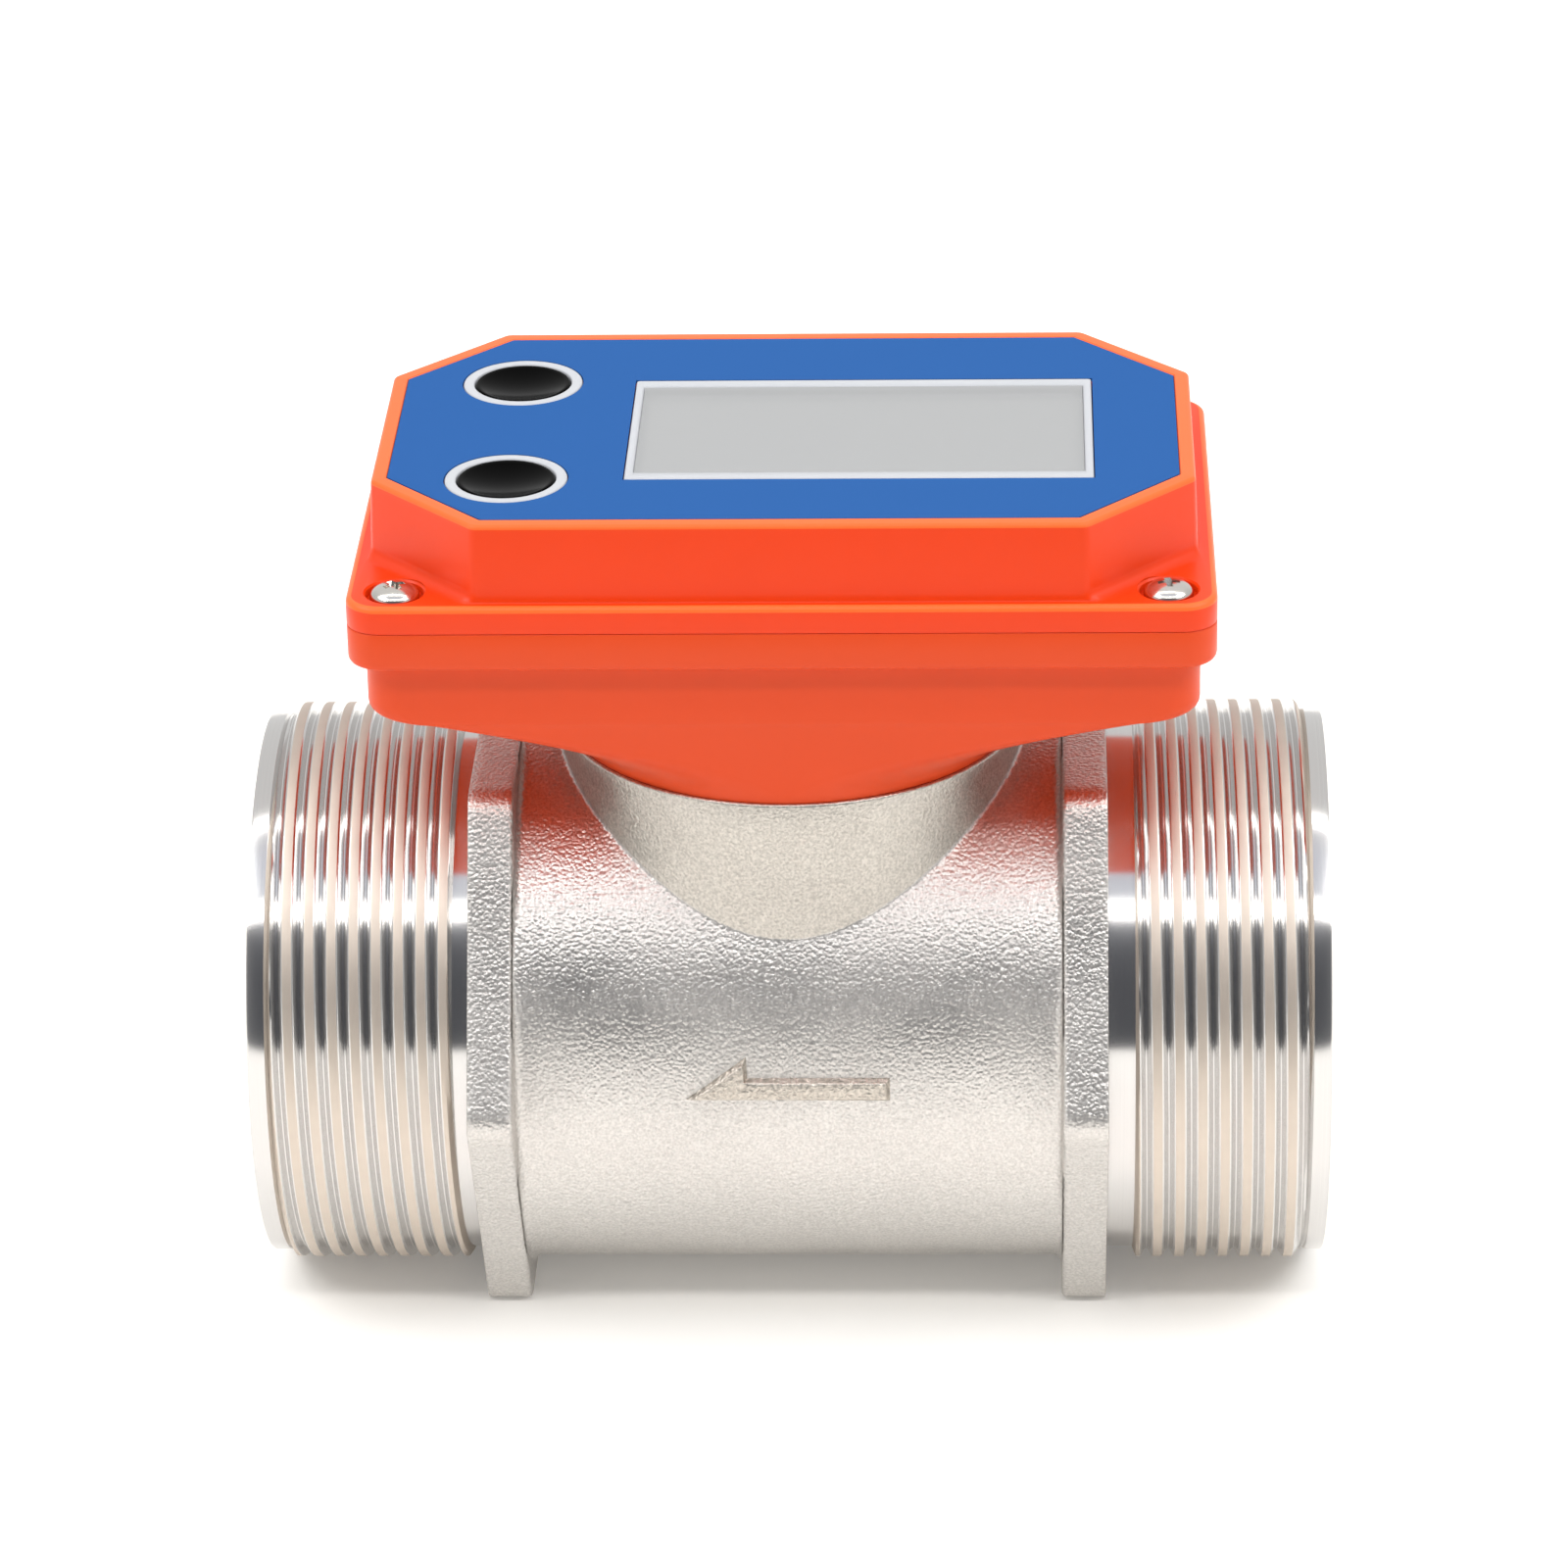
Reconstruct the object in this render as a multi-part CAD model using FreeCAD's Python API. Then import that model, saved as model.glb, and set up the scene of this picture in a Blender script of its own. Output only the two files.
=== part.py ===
"""Turbine flow meter: a cast stainless pipe body, a bladed rotor in its bore and a battery head on top.

Millimetres. +X runs along the pipe towards the inlet, +Z is up, and the origin lies on the
resting surface below the middle of the pipe. Water runs from +X to -X.
"""
import FreeCAD, Part
import math
import os

V = FreeCAD.Vector

# ---------------------------------------------------------------- pipe body
BODY_LENGTH = 112.0           # end face to end face
END_LENGTH = 23.0             # hex outer face to end face
HEX_THICKNESS = 4.7
HEX_CORNER_RADIUS = 3.0
THREAD_RADIUS = 29.807        # G2 major radius; the ends carry the thread's outer cylinder
THREAD_DEPTH = 1.107          # crest to the turned relief and pilot
THREAD_WALL = 4.307           # thread crest to the bore behind the end faces
THREAD_LEAD_IN = 1.1          # chamfer at each end of the threaded cylinder
FLAT_PROUD = 0.193            # hex flats stand this far outside the thread crests
BARREL_STEP = 0.207           # thread crest to the cast barrel between the hexes
RELIEF_WIDTH = {"inlet": 2.8, "outlet": 1.7}
PILOT_LENGTH = 2.2
MOUTH_CHAMFER = 0.8
BORE_STEP = 1.5               # shoulder that stops each support
METERING_LENGTH = 26.0        # length of the narrower bore around the rotor

BOSS_RADIUS = 24.33
BOSS_RISE = 2.63              # boss rim above the top of the barrel
BOSS_WALL = 4.33
POCKET_DEPTH = 3.3            # boss rim to the pocket floor
WELL_RADIUS = 5.8             # blind well for the sensor capsule
WELL_FLOOR = 2.0              # metal left between the well and the bore
SOLID = 0.01                  # overlap that joins neighbouring shapes of one solid
SAME_HEIGHT = 1e-4            # edges this near a height count as lying in it

# ---------------------------------------------------------------- rotor and its supports
TIP_GAP = 0.6                 # blade tip to bore
BLADE_COUNT = 6
BLADE_LENGTH = 15.0           # along the pipe
BLADE_THICKNESS = 1.7         # at mid length
BLADE_EDGE = 0.7              # at the leading and trailing edges
BLADE_TWIST = 40.0            # degrees from leading to trailing edge
HUB_RADIUS = 8.5
ROTOR_HUB_LENGTH = 20.0
HUB_CHAMFER = 1.0
SHAFT_RADIUS = 1.5
SHAFT_IN_BEARING = 3.2
RUN_GAP = 0.03                # shaft in its bearings
PRESS_GAP = 0.02              # pieces pushed into each other
HUB_GAP = 1.0                 # rotor hub to support hub
WASHER_THICKNESS = 0.7
WASHER_RADIUS = 3.2
BEARING_RADIUS = 3.5
BEARING_LENGTH = 4.0
MAGNET_RADIUS = 1.5
MAGNET_LENGTH = 3.0
MAGNET_COUNT = 2
MAGNET_WALL = 0.9
MAGNET_INSET = 0.4            # magnet face below the blade tip

INSERT_GAP = 0.1              # support ring in its bore
SUPPORT_LENGTH = 18.0         # ring length
SUPPORT_WALL = 1.6
VANE_COUNT = 4
VANE_THICKNESS = 1.8
VANE_INSET = 1.2              # vane ends inside the ring's end faces
NOSE_LENGTH = 11.0
SNAP_THICKNESS = 1.4
SNAP_WIDTH = 2.8              # radial width of the snap ring
SNAP_GROOVE = 1.0             # groove depth
SNAP_GAP = 0.1
SNAP_OPENING = 26.0           # degrees left open between the ring's ears
EAR_RADIUS = 2.3
EAR_HOLE_RADIUS = 0.9

# ---------------------------------------------------------------- head
HEAD_LENGTH = 87.6            # flange along the pipe
HEAD_WIDTH = 55.3             # flange across the pipe
FLANGE_CORNER = 3.6
FLARE_HEIGHT = 9.97           # boss rim to the lower edge of the box
BOX_HEIGHT = 6.55
BOX_INSET = 2.4               # flange edge to box wall
BOX_CORNER = 3.2
BOX_EDGE_RADIUS = 2.5
BASE_FLANGE = 4.1
FLANGE_BEVEL = 0.5
LID_FLANGE = 2.95
BEZEL_HEIGHT = 8.25
BEZEL_INSET_X = 2.0
BEZEL_INSET_Y = 1.56
BEZEL_CUT_X = 11.13           # corner cuts of the octagon
BEZEL_CUT_Y = 11.88
BEZEL_DRAFT = 0.25            # the block is wider by this at its foot, each side
BEZEL_CORNER = 1.3
BEZEL_BEVEL = 0.35
FOOT_STEP = 0.43              # bare boss rim outside the housing's foot
FOOT_FLOOR = 2.2
FLARE_POWER = 1.6             # 1 is a straight taper; more keeps the foot upright for longer
HEAD_WALL = 2.2
SPIGOT_GAP = 0.4              # spigot in the boss pocket
SPIGOT_END_GAP = 0.3
SEAL_GROOVE_DEPTH = 1.2
SEAL_HEIGHT = 1.4
SEAL_GAP = 0.05
GASKET_INSET = 1.4
GASKET_THICKNESS = 0.6

# ---------------------------------------------------------------- screws
FOOT_SCREW_INSET = 4.5        # pocket wall to the screws' centres
FOOT_SCREW_RADIUS = 1.45
FOOT_SCREW_REACH = 3.7        # into the boss
FOOT_HEAD_RADIUS = 2.7
FOOT_HEAD_HEIGHT = 1.8
SCREW_FIT = 0.05              # shank to the hole it holds in
SCREW_CLEARANCE = 0.25        # shank to the hole it passes through
HOLE_END_GAP = 0.5            # blind hole beyond the screw's end
LID_SCREW_INSET_X = 4.9       # from the flange edges
LID_SCREW_INSET_Y = 4.25
LID_SCREW_RADIUS = 1.35
LID_SCREW_REACH = 3.0         # into the base flange
LID_HEAD_RADIUS = 2.72
LID_HEAD_HEIGHT = 1.75
LID_COUNTERBORE = 0.9
COUNTERBORE_GAP = 0.35
POST_WALL = 2.0               # plastic round a screw in a corner post
SMALL_SCREW_RADIUS = 1.0
SMALL_HEAD_RADIUS = 1.9
SMALL_HEAD_HEIGHT = 1.3
SMALL_SCREW_REACH = 4.0
SMALL_POST_RADIUS = 2.7
HEAD_CROWN = 0.75             # flat top of a screw head over its width

# ---------------------------------------------------------------- face of the head
RIM_WIDTH_X = 1.56            # bezel edge to label
RIM_WIDTH_Y = 1.67
LABEL_CUT_X = 10.31
LABEL_CUT_Y = 11.04
LABEL_RECESS = 0.4
LABEL_THICKNESS = 0.37
LABEL_GAP = 0.08
FACE_PLATE = 2.2              # lid plastic under the label
FACE_SHIFT_Y = -0.75          # window and buttons sit this far off the middle
BUTTON_INSET = 12.2           # label's left edge to the button centres
BUTTON_PITCH = 25.9
WINDOW_BUTTON_GAP = 5.7       # button ring to window frame
WINDOW_INSET = 8.7            # label's right edge to window frame
WINDOW_MARGIN_Y = 11.1        # label's long edges to window frame
WINDOW_FRAME_WIDTH = 0.9
WINDOW_FRAME_WIDTH_Y = 1.7
WINDOW_FRAME_HEIGHT = 1.2
WINDOW_LIP = 0.6              # ledge that carries the window
WINDOW_LIP_HEIGHT = 0.25
WINDOW_SEAT = 0.8             # recess below the label recess
FRAME_SEAT = 0.8              # lid ledge under the frame
WINDOW_THICKNESS = 0.85
FIT_GAP = 0.1                 # flat pieces set into recesses
RING_RADIUS = 6.25
RING_HEIGHT = 1.4
RING_SEAT = 1.0               # recess below the label's underside
CAP_RADIUS = 4.95
CAP_GAP = 0.15
CAP_PROUD = 0.35              # cap's shoulder above the ring's seat level
CAP_DOME = 0.75
CAP_CROWN = 0.55              # flat top of the cap over its width
CAP_FLANGE = 1.0              # stop flange wider than the hole by this
CAP_FLANGE_HEIGHT = 0.7
CAP_STOP_GAP = 0.05
BUTTON_TRAVEL = 0.7           # cap and plunger, rest to fully pressed

# ---------------------------------------------------------------- electronics
BOARD_DROP = 3.45             # underside of the face plate to the board
BOARD_THICKNESS = 1.6
BOARD_GAP = 0.8               # board edge to the lid wall
SWITCH_SIZE = 6.0
SWITCH_HEIGHT = 1.6
PLUNGER_RADIUS = 1.6
PLUNGER_GAP = 0.08
PLUNGER_END_GAP = 0.2         # left under the plunger when the button is down
PANEL_THICKNESS = 2.0
PANEL_DROP = 0.25             # window frame to the display panel
HOLDER_WALL = 1.5
CHIPS = ((-1, 0, 8.0, 1.6), (1, 0, 5.0, 1.2))  # end of the board, side of it, width, height
CHIP_INSET = 7.8              # board end to the chips' centres
CAPSULE_GAP = 0.3             # capsule in its well
CAPSULE_WALL = 0.9
CAPSULE_FLANGE_RADIUS = 7.5
CAPSULE_FLANGE_HEIGHT = 1.1
STICK_WIDTH = 8.0
STICK_THICKNESS = 1.0
STICK_IN_HEADER = 1.7
HALL_SIZE = (4.0, 1.5, 3.0)
HALL_FOOT = 0.4               # sensor above the end of its board
HEADER_SIZE = (11.0, 5.0, 3.4)
SLOT_GAP = 0.1

CELL_RADIUS = 5.25
CELL_LENGTH = 44.5
CELL_NUB_RADIUS = 1.9
CELL_NUB_LENGTH = 0.8
CELL_PITCH = 14.0
CELL_GAP = 0.15
CONTACT_THICKNESS = 0.4
CONTACT_WIDTH = 7.0
BLADE_CONTACT_WIDTH = 2.6
TRAY_POST_HEIGHT = 7.6
TRAY_FLOOR = 1.2
TRAY_GAP = 0.8                # tray to the recess round it
TRAY_WALL = 1.3
TRAY_WALL_HEIGHT = 7.0
TRAY_RIB = 1.6                # thickness of the cradles under the cells
TRAY_CRADLE = 0.4             # cradle top below the cell axis, in cell radii
TRAY_SCREW_X = 17.0

# ---------------------------------------------------------------- derived: pipe body
SIDES = {"inlet": 1, "outlet": -1}
AXIS_Z = THREAD_RADIUS + FLAT_PROUD
BODY_END = BODY_LENGTH / 2
HEX_OUTER = BODY_END - END_LENGTH
HEX_INNER = HEX_OUTER - HEX_THICKNESS
BARREL_RADIUS = THREAD_RADIUS - BARREL_STEP
RELIEF_RADIUS = THREAD_RADIUS - THREAD_DEPTH
INSERT_BORE = THREAD_RADIUS - THREAD_WALL
METER_BORE = INSERT_BORE - BORE_STEP
INSERT_STOP = METERING_LENGTH / 2
BOSS_TOP = AXIS_Z + BARREL_RADIUS + BOSS_RISE
POCKET_RADIUS = BOSS_RADIUS - BOSS_WALL
POCKET_FLOOR = BOSS_TOP - POCKET_DEPTH
WELL_BOTTOM = AXIS_Z + METER_BORE + WELL_FLOOR

# ---------------------------------------------------------------- derived: rotor
TIP_RADIUS = METER_BORE - TIP_GAP
ROTOR_FACE = ROTOR_HUB_LENGTH / 2
SUPPORT_FACE = ROTOR_FACE + HUB_GAP
RING_END = INSERT_STOP + SUPPORT_LENGTH
RING_OUTER = INSERT_BORE - INSERT_GAP
RING_INNER = RING_OUTER - SUPPORT_WALL
NOSE_START = RING_END - VANE_INSET
GROOVE_START = RING_END
GROOVE_END = GROOVE_START + SNAP_THICKNESS + 2 * SNAP_GAP
GROOVE_RADIUS = INSERT_BORE + SNAP_GROOVE

# ---------------------------------------------------------------- derived: head
FLANGE_X = HEAD_LENGTH / 2
FLANGE_Y = HEAD_WIDTH / 2
BOX_X = FLANGE_X - BOX_INSET
BOX_Y = FLANGE_Y - BOX_INSET
BOX_BOTTOM = BOSS_TOP + FLARE_HEIGHT
BOX_TOP = BOX_BOTTOM + BOX_HEIGHT
SPLIT = BOX_TOP + BASE_FLANGE
LID_TOP = SPLIT + LID_FLANGE
RIM = LID_TOP + BEZEL_HEIGHT
FOOT_RADIUS = BOSS_RADIUS - FOOT_STEP
FLOOR_TOP = BOSS_TOP + FOOT_FLOOR
SPIGOT_RADIUS = POCKET_RADIUS - SPIGOT_GAP
SPIGOT_END = POCKET_FLOOR + SPIGOT_END_GAP
BEZEL_X = FLANGE_X - BEZEL_INSET_X
BEZEL_Y = FLANGE_Y - BEZEL_INSET_Y
LABEL_X = BEZEL_X - RIM_WIDTH_X
LABEL_Y = BEZEL_Y - RIM_WIDTH_Y
LABEL_SEAT = RIM - LABEL_RECESS
LABEL_TOP = LABEL_SEAT + LABEL_THICKNESS
PLATE_UNDER = LABEL_SEAT - FACE_PLATE
CAVITY_X = BEZEL_X - HEAD_WALL
CAVITY_Y = BEZEL_Y - HEAD_WALL
BUTTON_X = -LABEL_X + BUTTON_INSET
BUTTON_Y = {"set": FACE_SHIFT_Y + BUTTON_PITCH / 2, "clear": FACE_SHIFT_Y - BUTTON_PITCH / 2}
WINDOW_LOW_X = BUTTON_X + RING_RADIUS + WINDOW_BUTTON_GAP
WINDOW_HIGH_X = LABEL_X - WINDOW_INSET
WINDOW_CENTRE = ((WINDOW_LOW_X + WINDOW_HIGH_X) / 2, FACE_SHIFT_Y)
WINDOW_HALF = ((WINDOW_HIGH_X - WINDOW_LOW_X) / 2, LABEL_Y - WINDOW_MARGIN_Y)
FRAME_BOTTOM = LABEL_SEAT - WINDOW_SEAT
PANEL_TOP = FRAME_BOTTOM - PANEL_DROP
BOARD_TOP = PLATE_UNDER - BOARD_DROP
BOARD_BOTTOM = BOARD_TOP - BOARD_THICKNESS
CAP_FLANGE_TOP = PLATE_UNDER - CAP_STOP_GAP
PLUNGER_TOP = CAP_FLANGE_TOP - CAP_FLANGE_HEIGHT
SWITCH_TOP = BOARD_TOP + SWITCH_HEIGHT
PLUNGER_END = BOARD_TOP + PLUNGER_END_GAP + BUTTON_TRAVEL
TRAY_BOTTOM = FLOOR_TOP + TRAY_POST_HEIGHT
TRAY_SEAT = TRAY_BOTTOM + TRAY_FLOOR
CELL_Z = TRAY_SEAT + CELL_RADIUS
CONTACT_X = CELL_LENGTH / 2 + CELL_NUB_LENGTH
TRAY_END_X = CONTACT_X + CONTACT_THICKNESS + TRAY_WALL
TRAY_HALF_Y = CELL_PITCH / 2 + CELL_RADIUS + CELL_GAP
CAPSULE_RADIUS = WELL_RADIUS - CAPSULE_GAP
CAPSULE_BOTTOM = WELL_BOTTOM + CAPSULE_GAP
STICK_BOTTOM = CAPSULE_BOTTOM + CAPSULE_WALL
HEADER_BOTTOM = BOARD_BOTTOM - HEADER_SIZE[2]

FOUR_CORNERS = ((1, 1), (-1, 1), (-1, -1), (1, -1))
FOOT_SCREW_OUT = (POCKET_RADIUS - FOOT_SCREW_INSET) * math.sqrt(0.5)
FOOT_SCREW_XY = [(sx * FOOT_SCREW_OUT, sy * FOOT_SCREW_OUT) for sx, sy in FOUR_CORNERS]
LID_SCREW_XY = [
    (sx * (FLANGE_X - LID_SCREW_INSET_X), sy * (FLANGE_Y - LID_SCREW_INSET_Y)) for sx, sy in FOUR_CORNERS
]
POST_X = (WINDOW_HIGH_X + SMALL_POST_RADIUS + 1.0, WINDOW_LOW_X - SMALL_POST_RADIUS)
POST_Y = (CAVITY_Y - BEZEL_CUT_Y + 1.8, CAVITY_Y - SMALL_POST_RADIUS - 1.0)
BOARD_SCREW_XY = [(x, side * y) for x, y in zip(POST_X, POST_Y) for side in (1, -1)]
TRAY_SCREW_XY = [(TRAY_SCREW_X, 0.0), (-TRAY_SCREW_X, 0.0)]


# ---------------------------------------------------------------- plain shapes
def box(x0, x1, y0, y1, z0, z1):
    """Block between two corners."""
    return Part.makeBox(x1 - x0, y1 - y0, z1 - z0, V(x0, y0, z0))


def disc(radius, z0, z1, x=0.0, y=0.0):
    """Upright cylinder."""
    return Part.makeCylinder(radius, z1 - z0, V(x, y, z0))


def tube(outer, inner, z0, z1, x=0.0, y=0.0):
    """Upright tube."""
    return disc(outer, z0, z1, x, y).cut(disc(inner, z0, z1, x, y))


def along_pipe(shape):
    """Turns a shape built about +Z at the origin to lie about the pipe axis, +Z towards the inlet."""
    turned = shape.copy()
    turned.rotate(V(0, 0, 0), V(0, 1, 0), 90)
    turned.translate(V(0, 0, AXIS_Z))
    return turned


def pipe_rod(radius, x0, x1):
    """Cylinder on the pipe axis."""
    return along_pipe(disc(radius, x0, x1))


def pipe_revolve(profile):
    """Turned shape on the pipe axis from (x, radius) points; the profile closes on itself."""
    points = [V(radius, 0, x) for x, radius in profile]
    face = Part.Face(Part.makePolygon(points + points[:1]))
    return along_pipe(face.revolve(V(0, 0, 0), V(0, 0, 1), 360))


def on_side(shape, side):
    """Mirrors a shape built on the inlet side when it belongs on the outlet side."""
    return shape if SIDES[side] > 0 else shape.mirror(V(0, 0, 0), V(1, 0, 0))


def rounded_outline(corners, radius, z):
    """Closed wire through the corners at height z, each corner turned by an arc."""
    arcs = []
    count = len(corners)
    for i, corner in enumerate(corners):
        here = V(*corner, z)
        back = (V(*corners[i - 1], z) - here).normalize()
        ahead = (V(*corners[(i + 1) % count], z) - here).normalize()
        half = back.getAngle(ahead) / 2
        inward = (back + ahead).normalize()
        reach = radius / math.tan(half)
        middle = here + inward * (radius / math.sin(half) - radius)
        arcs.append((here + back * reach, middle, here + ahead * reach))
    edges = []
    for i, (start, middle, end) in enumerate(arcs):
        edges.append(Part.Arc(start, middle, end).toShape())
        edges.append(Part.makeLine(end, arcs[(i + 1) % count][0]))
    return Part.Wire(edges)


def rectangle(half_x, half_y, x=0.0, y=0.0):
    """Corners of a rectangle, anticlockwise."""
    high_x, low_x, high_y, low_y = x + half_x, x - half_x, y + half_y, y - half_y
    return [(high_x, low_y), (high_x, high_y), (low_x, high_y), (low_x, low_y)]


def octagon(half_x, half_y, cut_x, cut_y):
    """Corners of a rectangle with cut corners, anticlockwise."""
    in_x, in_y = half_x - cut_x, half_y - cut_y
    return [
        (half_x, -in_y), (half_x, in_y), (in_x, half_y), (-in_x, half_y),
        (-half_x, in_y), (-half_x, -in_y), (-in_x, -half_y), (in_x, -half_y),
    ]


def plate(corners, radius, z0, z1):
    """Flat plate with rounded corners, or sharp ones where the radius is nought."""
    if radius > 0:
        outline = rounded_outline(corners, radius, z0)
    else:
        outline = Part.makePolygon([V(x, y, z0) for x, y in corners + corners[:1]])
    return Part.Face(outline).extrude(V(0, 0, z1 - z0))


def bevel_edges_at(shape, z, size):
    """Bevels the edges that lie flat at height z."""
    boxes = [(edge, edge.BoundBox) for edge in shape.Edges]
    edges = [edge for edge, b in boxes if abs(b.ZMin - z) + abs(b.ZMax - z) < SAME_HEIGHT]
    return shape.makeChamfer(size, edges)


def tapered_block(low_corners, high_corners, z0, z1):
    """Solid with flat sides between two outlines of equally many corners."""
    low = [V(x, y, z0) for x, y in low_corners]
    high = [V(x, y, z1) for x, y in high_corners]
    loops = [low[::-1], high]
    for i in range(len(low)):
        j = (i + 1) % len(low)
        loops.append([low[i], low[j], high[j], high[i]])
    faces = [Part.Face(Part.makePolygon(loop + loop[:1])) for loop in loops]
    return Part.makeSolid(Part.makeShell(faces))


def joined(shapes):
    """One solid from shapes that meet or overlap."""
    whole = shapes[0].fuse(shapes[1:]) if len(shapes) > 1 else shapes[0]
    return whole.removeSplitter()


# ---------------------------------------------------------------- pipe body
def hex_collar():
    """Spanner hexagon on the inlet side, flat side down, with cast-round corners."""
    corner = (THREAD_RADIUS + FLAT_PROUD) / math.cos(math.pi / 6)
    angles = [math.radians(30 + 60 * k) for k in range(6)]
    corners = [(corner * math.cos(a), corner * math.sin(a)) for a in angles]
    return along_pipe(plate(corners, HEX_CORNER_RADIUS, HEX_INNER, HEX_OUTER))


def pipe_end(side):
    """Turned end outside the hex: relief groove, thread cylinder and plain pilot."""
    thread_start = HEX_OUTER + RELIEF_WIDTH[side]
    thread_end = BODY_END - PILOT_LENGTH
    profile = [
        (HEX_OUTER - SOLID, 0), (HEX_OUTER - SOLID, RELIEF_RADIUS), (thread_start, RELIEF_RADIUS),
        (thread_start + THREAD_LEAD_IN, THREAD_RADIUS), (thread_end - THREAD_LEAD_IN, THREAD_RADIUS),
        (thread_end, RELIEF_RADIUS), (BODY_END, RELIEF_RADIUS), (BODY_END, 0),
    ]
    return on_side(pipe_revolve(profile), side)


def bore_half():
    """Space inside the inlet half: metering bore, insert bore, snap-ring groove and mouth chamfer."""
    return pipe_revolve([
        (-SOLID, 0), (-SOLID, METER_BORE), (INSERT_STOP, METER_BORE), (INSERT_STOP, INSERT_BORE),
        (GROOVE_START, INSERT_BORE), (GROOVE_START, GROOVE_RADIUS), (GROOVE_END, GROOVE_RADIUS),
        (GROOVE_END, INSERT_BORE), (BODY_END - MOUTH_CHAMFER, INSERT_BORE),
        (BODY_END + SOLID, INSERT_BORE + MOUTH_CHAMFER + SOLID), (BODY_END + SOLID, 0),
    ])


def flow_body():
    """Cast and turned pipe body with two spanner hexes, threaded ends and the round sensor boss."""
    barrel = pipe_rod(BARREL_RADIUS, -HEX_INNER - SOLID, HEX_INNER + SOLID)
    boss = disc(BOSS_RADIUS, AXIS_Z, BOSS_TOP)
    collar = hex_collar()
    collars = [collar, on_side(collar, "outlet")]
    outside = joined([barrel, boss] + collars + [pipe_end("inlet"), pipe_end("outlet")])
    bore = bore_half()
    spaces = [
        bore, on_side(bore, "outlet"),
        disc(POCKET_RADIUS, POCKET_FLOOR, BOSS_TOP + SOLID),
        disc(WELL_RADIUS, WELL_BOTTOM, POCKET_FLOOR + SOLID),
    ]
    screw_end = POCKET_FLOOR - FOOT_SCREW_REACH - HOLE_END_GAP
    for x, y in FOOT_SCREW_XY:
        spaces.append(disc(FOOT_SCREW_RADIUS + SCREW_FIT, screw_end, POCKET_FLOOR + SOLID, x, y))
    return outside.cut(spaces)


# ---------------------------------------------------------------- rotor and its supports
def blade():
    """One helical blade, thickest at mid length, cut to the tip radius."""
    stations = 3
    root = HUB_RADIUS - 1.0
    reach = TIP_RADIUS + 1.0
    sections = []
    for i in range(stations):
        share = i / (stations - 1)
        x = (share - 0.5) * BLADE_LENGTH
        turn = math.radians((share - 0.5) * BLADE_TWIST)
        swell = 1 - (2 * share - 1) ** 2
        half = (BLADE_EDGE + (BLADE_THICKNESS - BLADE_EDGE) * swell) / 2
        out = V(0, math.sin(turn), math.cos(turn))
        across = V(0, math.cos(turn), -math.sin(turn))
        middle = V(x, 0, AXIS_Z)
        corners = [
            middle + out * root - across * half, middle + out * root + across * half,
            middle + out * reach + across * half, middle + out * reach - across * half,
        ]
        sections.append(Part.makePolygon(corners + corners[:1]))
    twisted = Part.makeLoft(sections, True, False)
    return twisted.common(pipe_rod(TIP_RADIUS, -BLADE_LENGTH, BLADE_LENGTH))


def around_pipe(shape, degrees):
    """Copy turned about the pipe axis."""
    turned = shape.copy()
    turned.rotate(V(0, 0, AXIS_Z), V(1, 0, 0), degrees)
    return turned


def magnet_places():
    """Angles of the blades that carry a magnet."""
    return [k * 360 / MAGNET_COUNT for k in range(MAGNET_COUNT)]


def rotor():
    """Moulded rotor: round hub, helical blades and a magnet socket in two opposite blade tips."""
    hub = pipe_revolve([
        (-ROTOR_FACE, SHAFT_RADIUS + PRESS_GAP), (-ROTOR_FACE, HUB_RADIUS - HUB_CHAMFER),
        (-ROTOR_FACE + HUB_CHAMFER, HUB_RADIUS), (ROTOR_FACE - HUB_CHAMFER, HUB_RADIUS),
        (ROTOR_FACE, HUB_RADIUS - HUB_CHAMFER), (ROTOR_FACE, SHAFT_RADIUS + PRESS_GAP),
    ])
    one = blade()
    blades = [around_pipe(one, k * 360 / BLADE_COUNT) for k in range(BLADE_COUNT)]
    socket_depth = MAGNET_LENGTH + MAGNET_INSET
    tip = AXIS_Z + TIP_RADIUS
    holder = disc(MAGNET_RADIUS + MAGNET_WALL, tip - socket_depth - MAGNET_WALL, tip)
    holder = holder.common(pipe_rod(TIP_RADIUS, -BLADE_LENGTH, BLADE_LENGTH))
    socket = disc(MAGNET_RADIUS + PRESS_GAP, tip - socket_depth, tip + 1.0)
    holders = [around_pipe(holder, a) for a in magnet_places()]
    whole = joined([hub] + blades + holders)
    return whole.cut([around_pipe(socket, a) for a in magnet_places()])


def rotor_magnets():
    """Disc magnets in the blade tips."""
    top = AXIS_Z + TIP_RADIUS - MAGNET_INSET
    magnet = disc(MAGNET_RADIUS, top - MAGNET_LENGTH, top)
    return Part.makeCompound([around_pipe(magnet, a) for a in magnet_places()])


def rotor_shaft():
    """Ground shaft through the rotor, running in a bearing at each end."""
    end = SUPPORT_FACE + SHAFT_IN_BEARING
    shaft = pipe_rod(SHAFT_RADIUS, -end, end)
    tips = [e for e in shaft.Edges if abs(e.BoundBox.XLength) < 1e-4]
    return shaft.makeChamfer(0.3, tips)


def thrust_washer(side):
    """Washer on the shaft against the rotor hub."""
    outer = pipe_rod(WASHER_RADIUS, ROTOR_FACE, ROTOR_FACE + WASHER_THICKNESS)
    hole = pipe_rod(SHAFT_RADIUS + PRESS_GAP, ROTOR_FACE - 1, ROTOR_FACE + WASHER_THICKNESS + 1)
    return on_side(outer.cut(hole), side)


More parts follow.
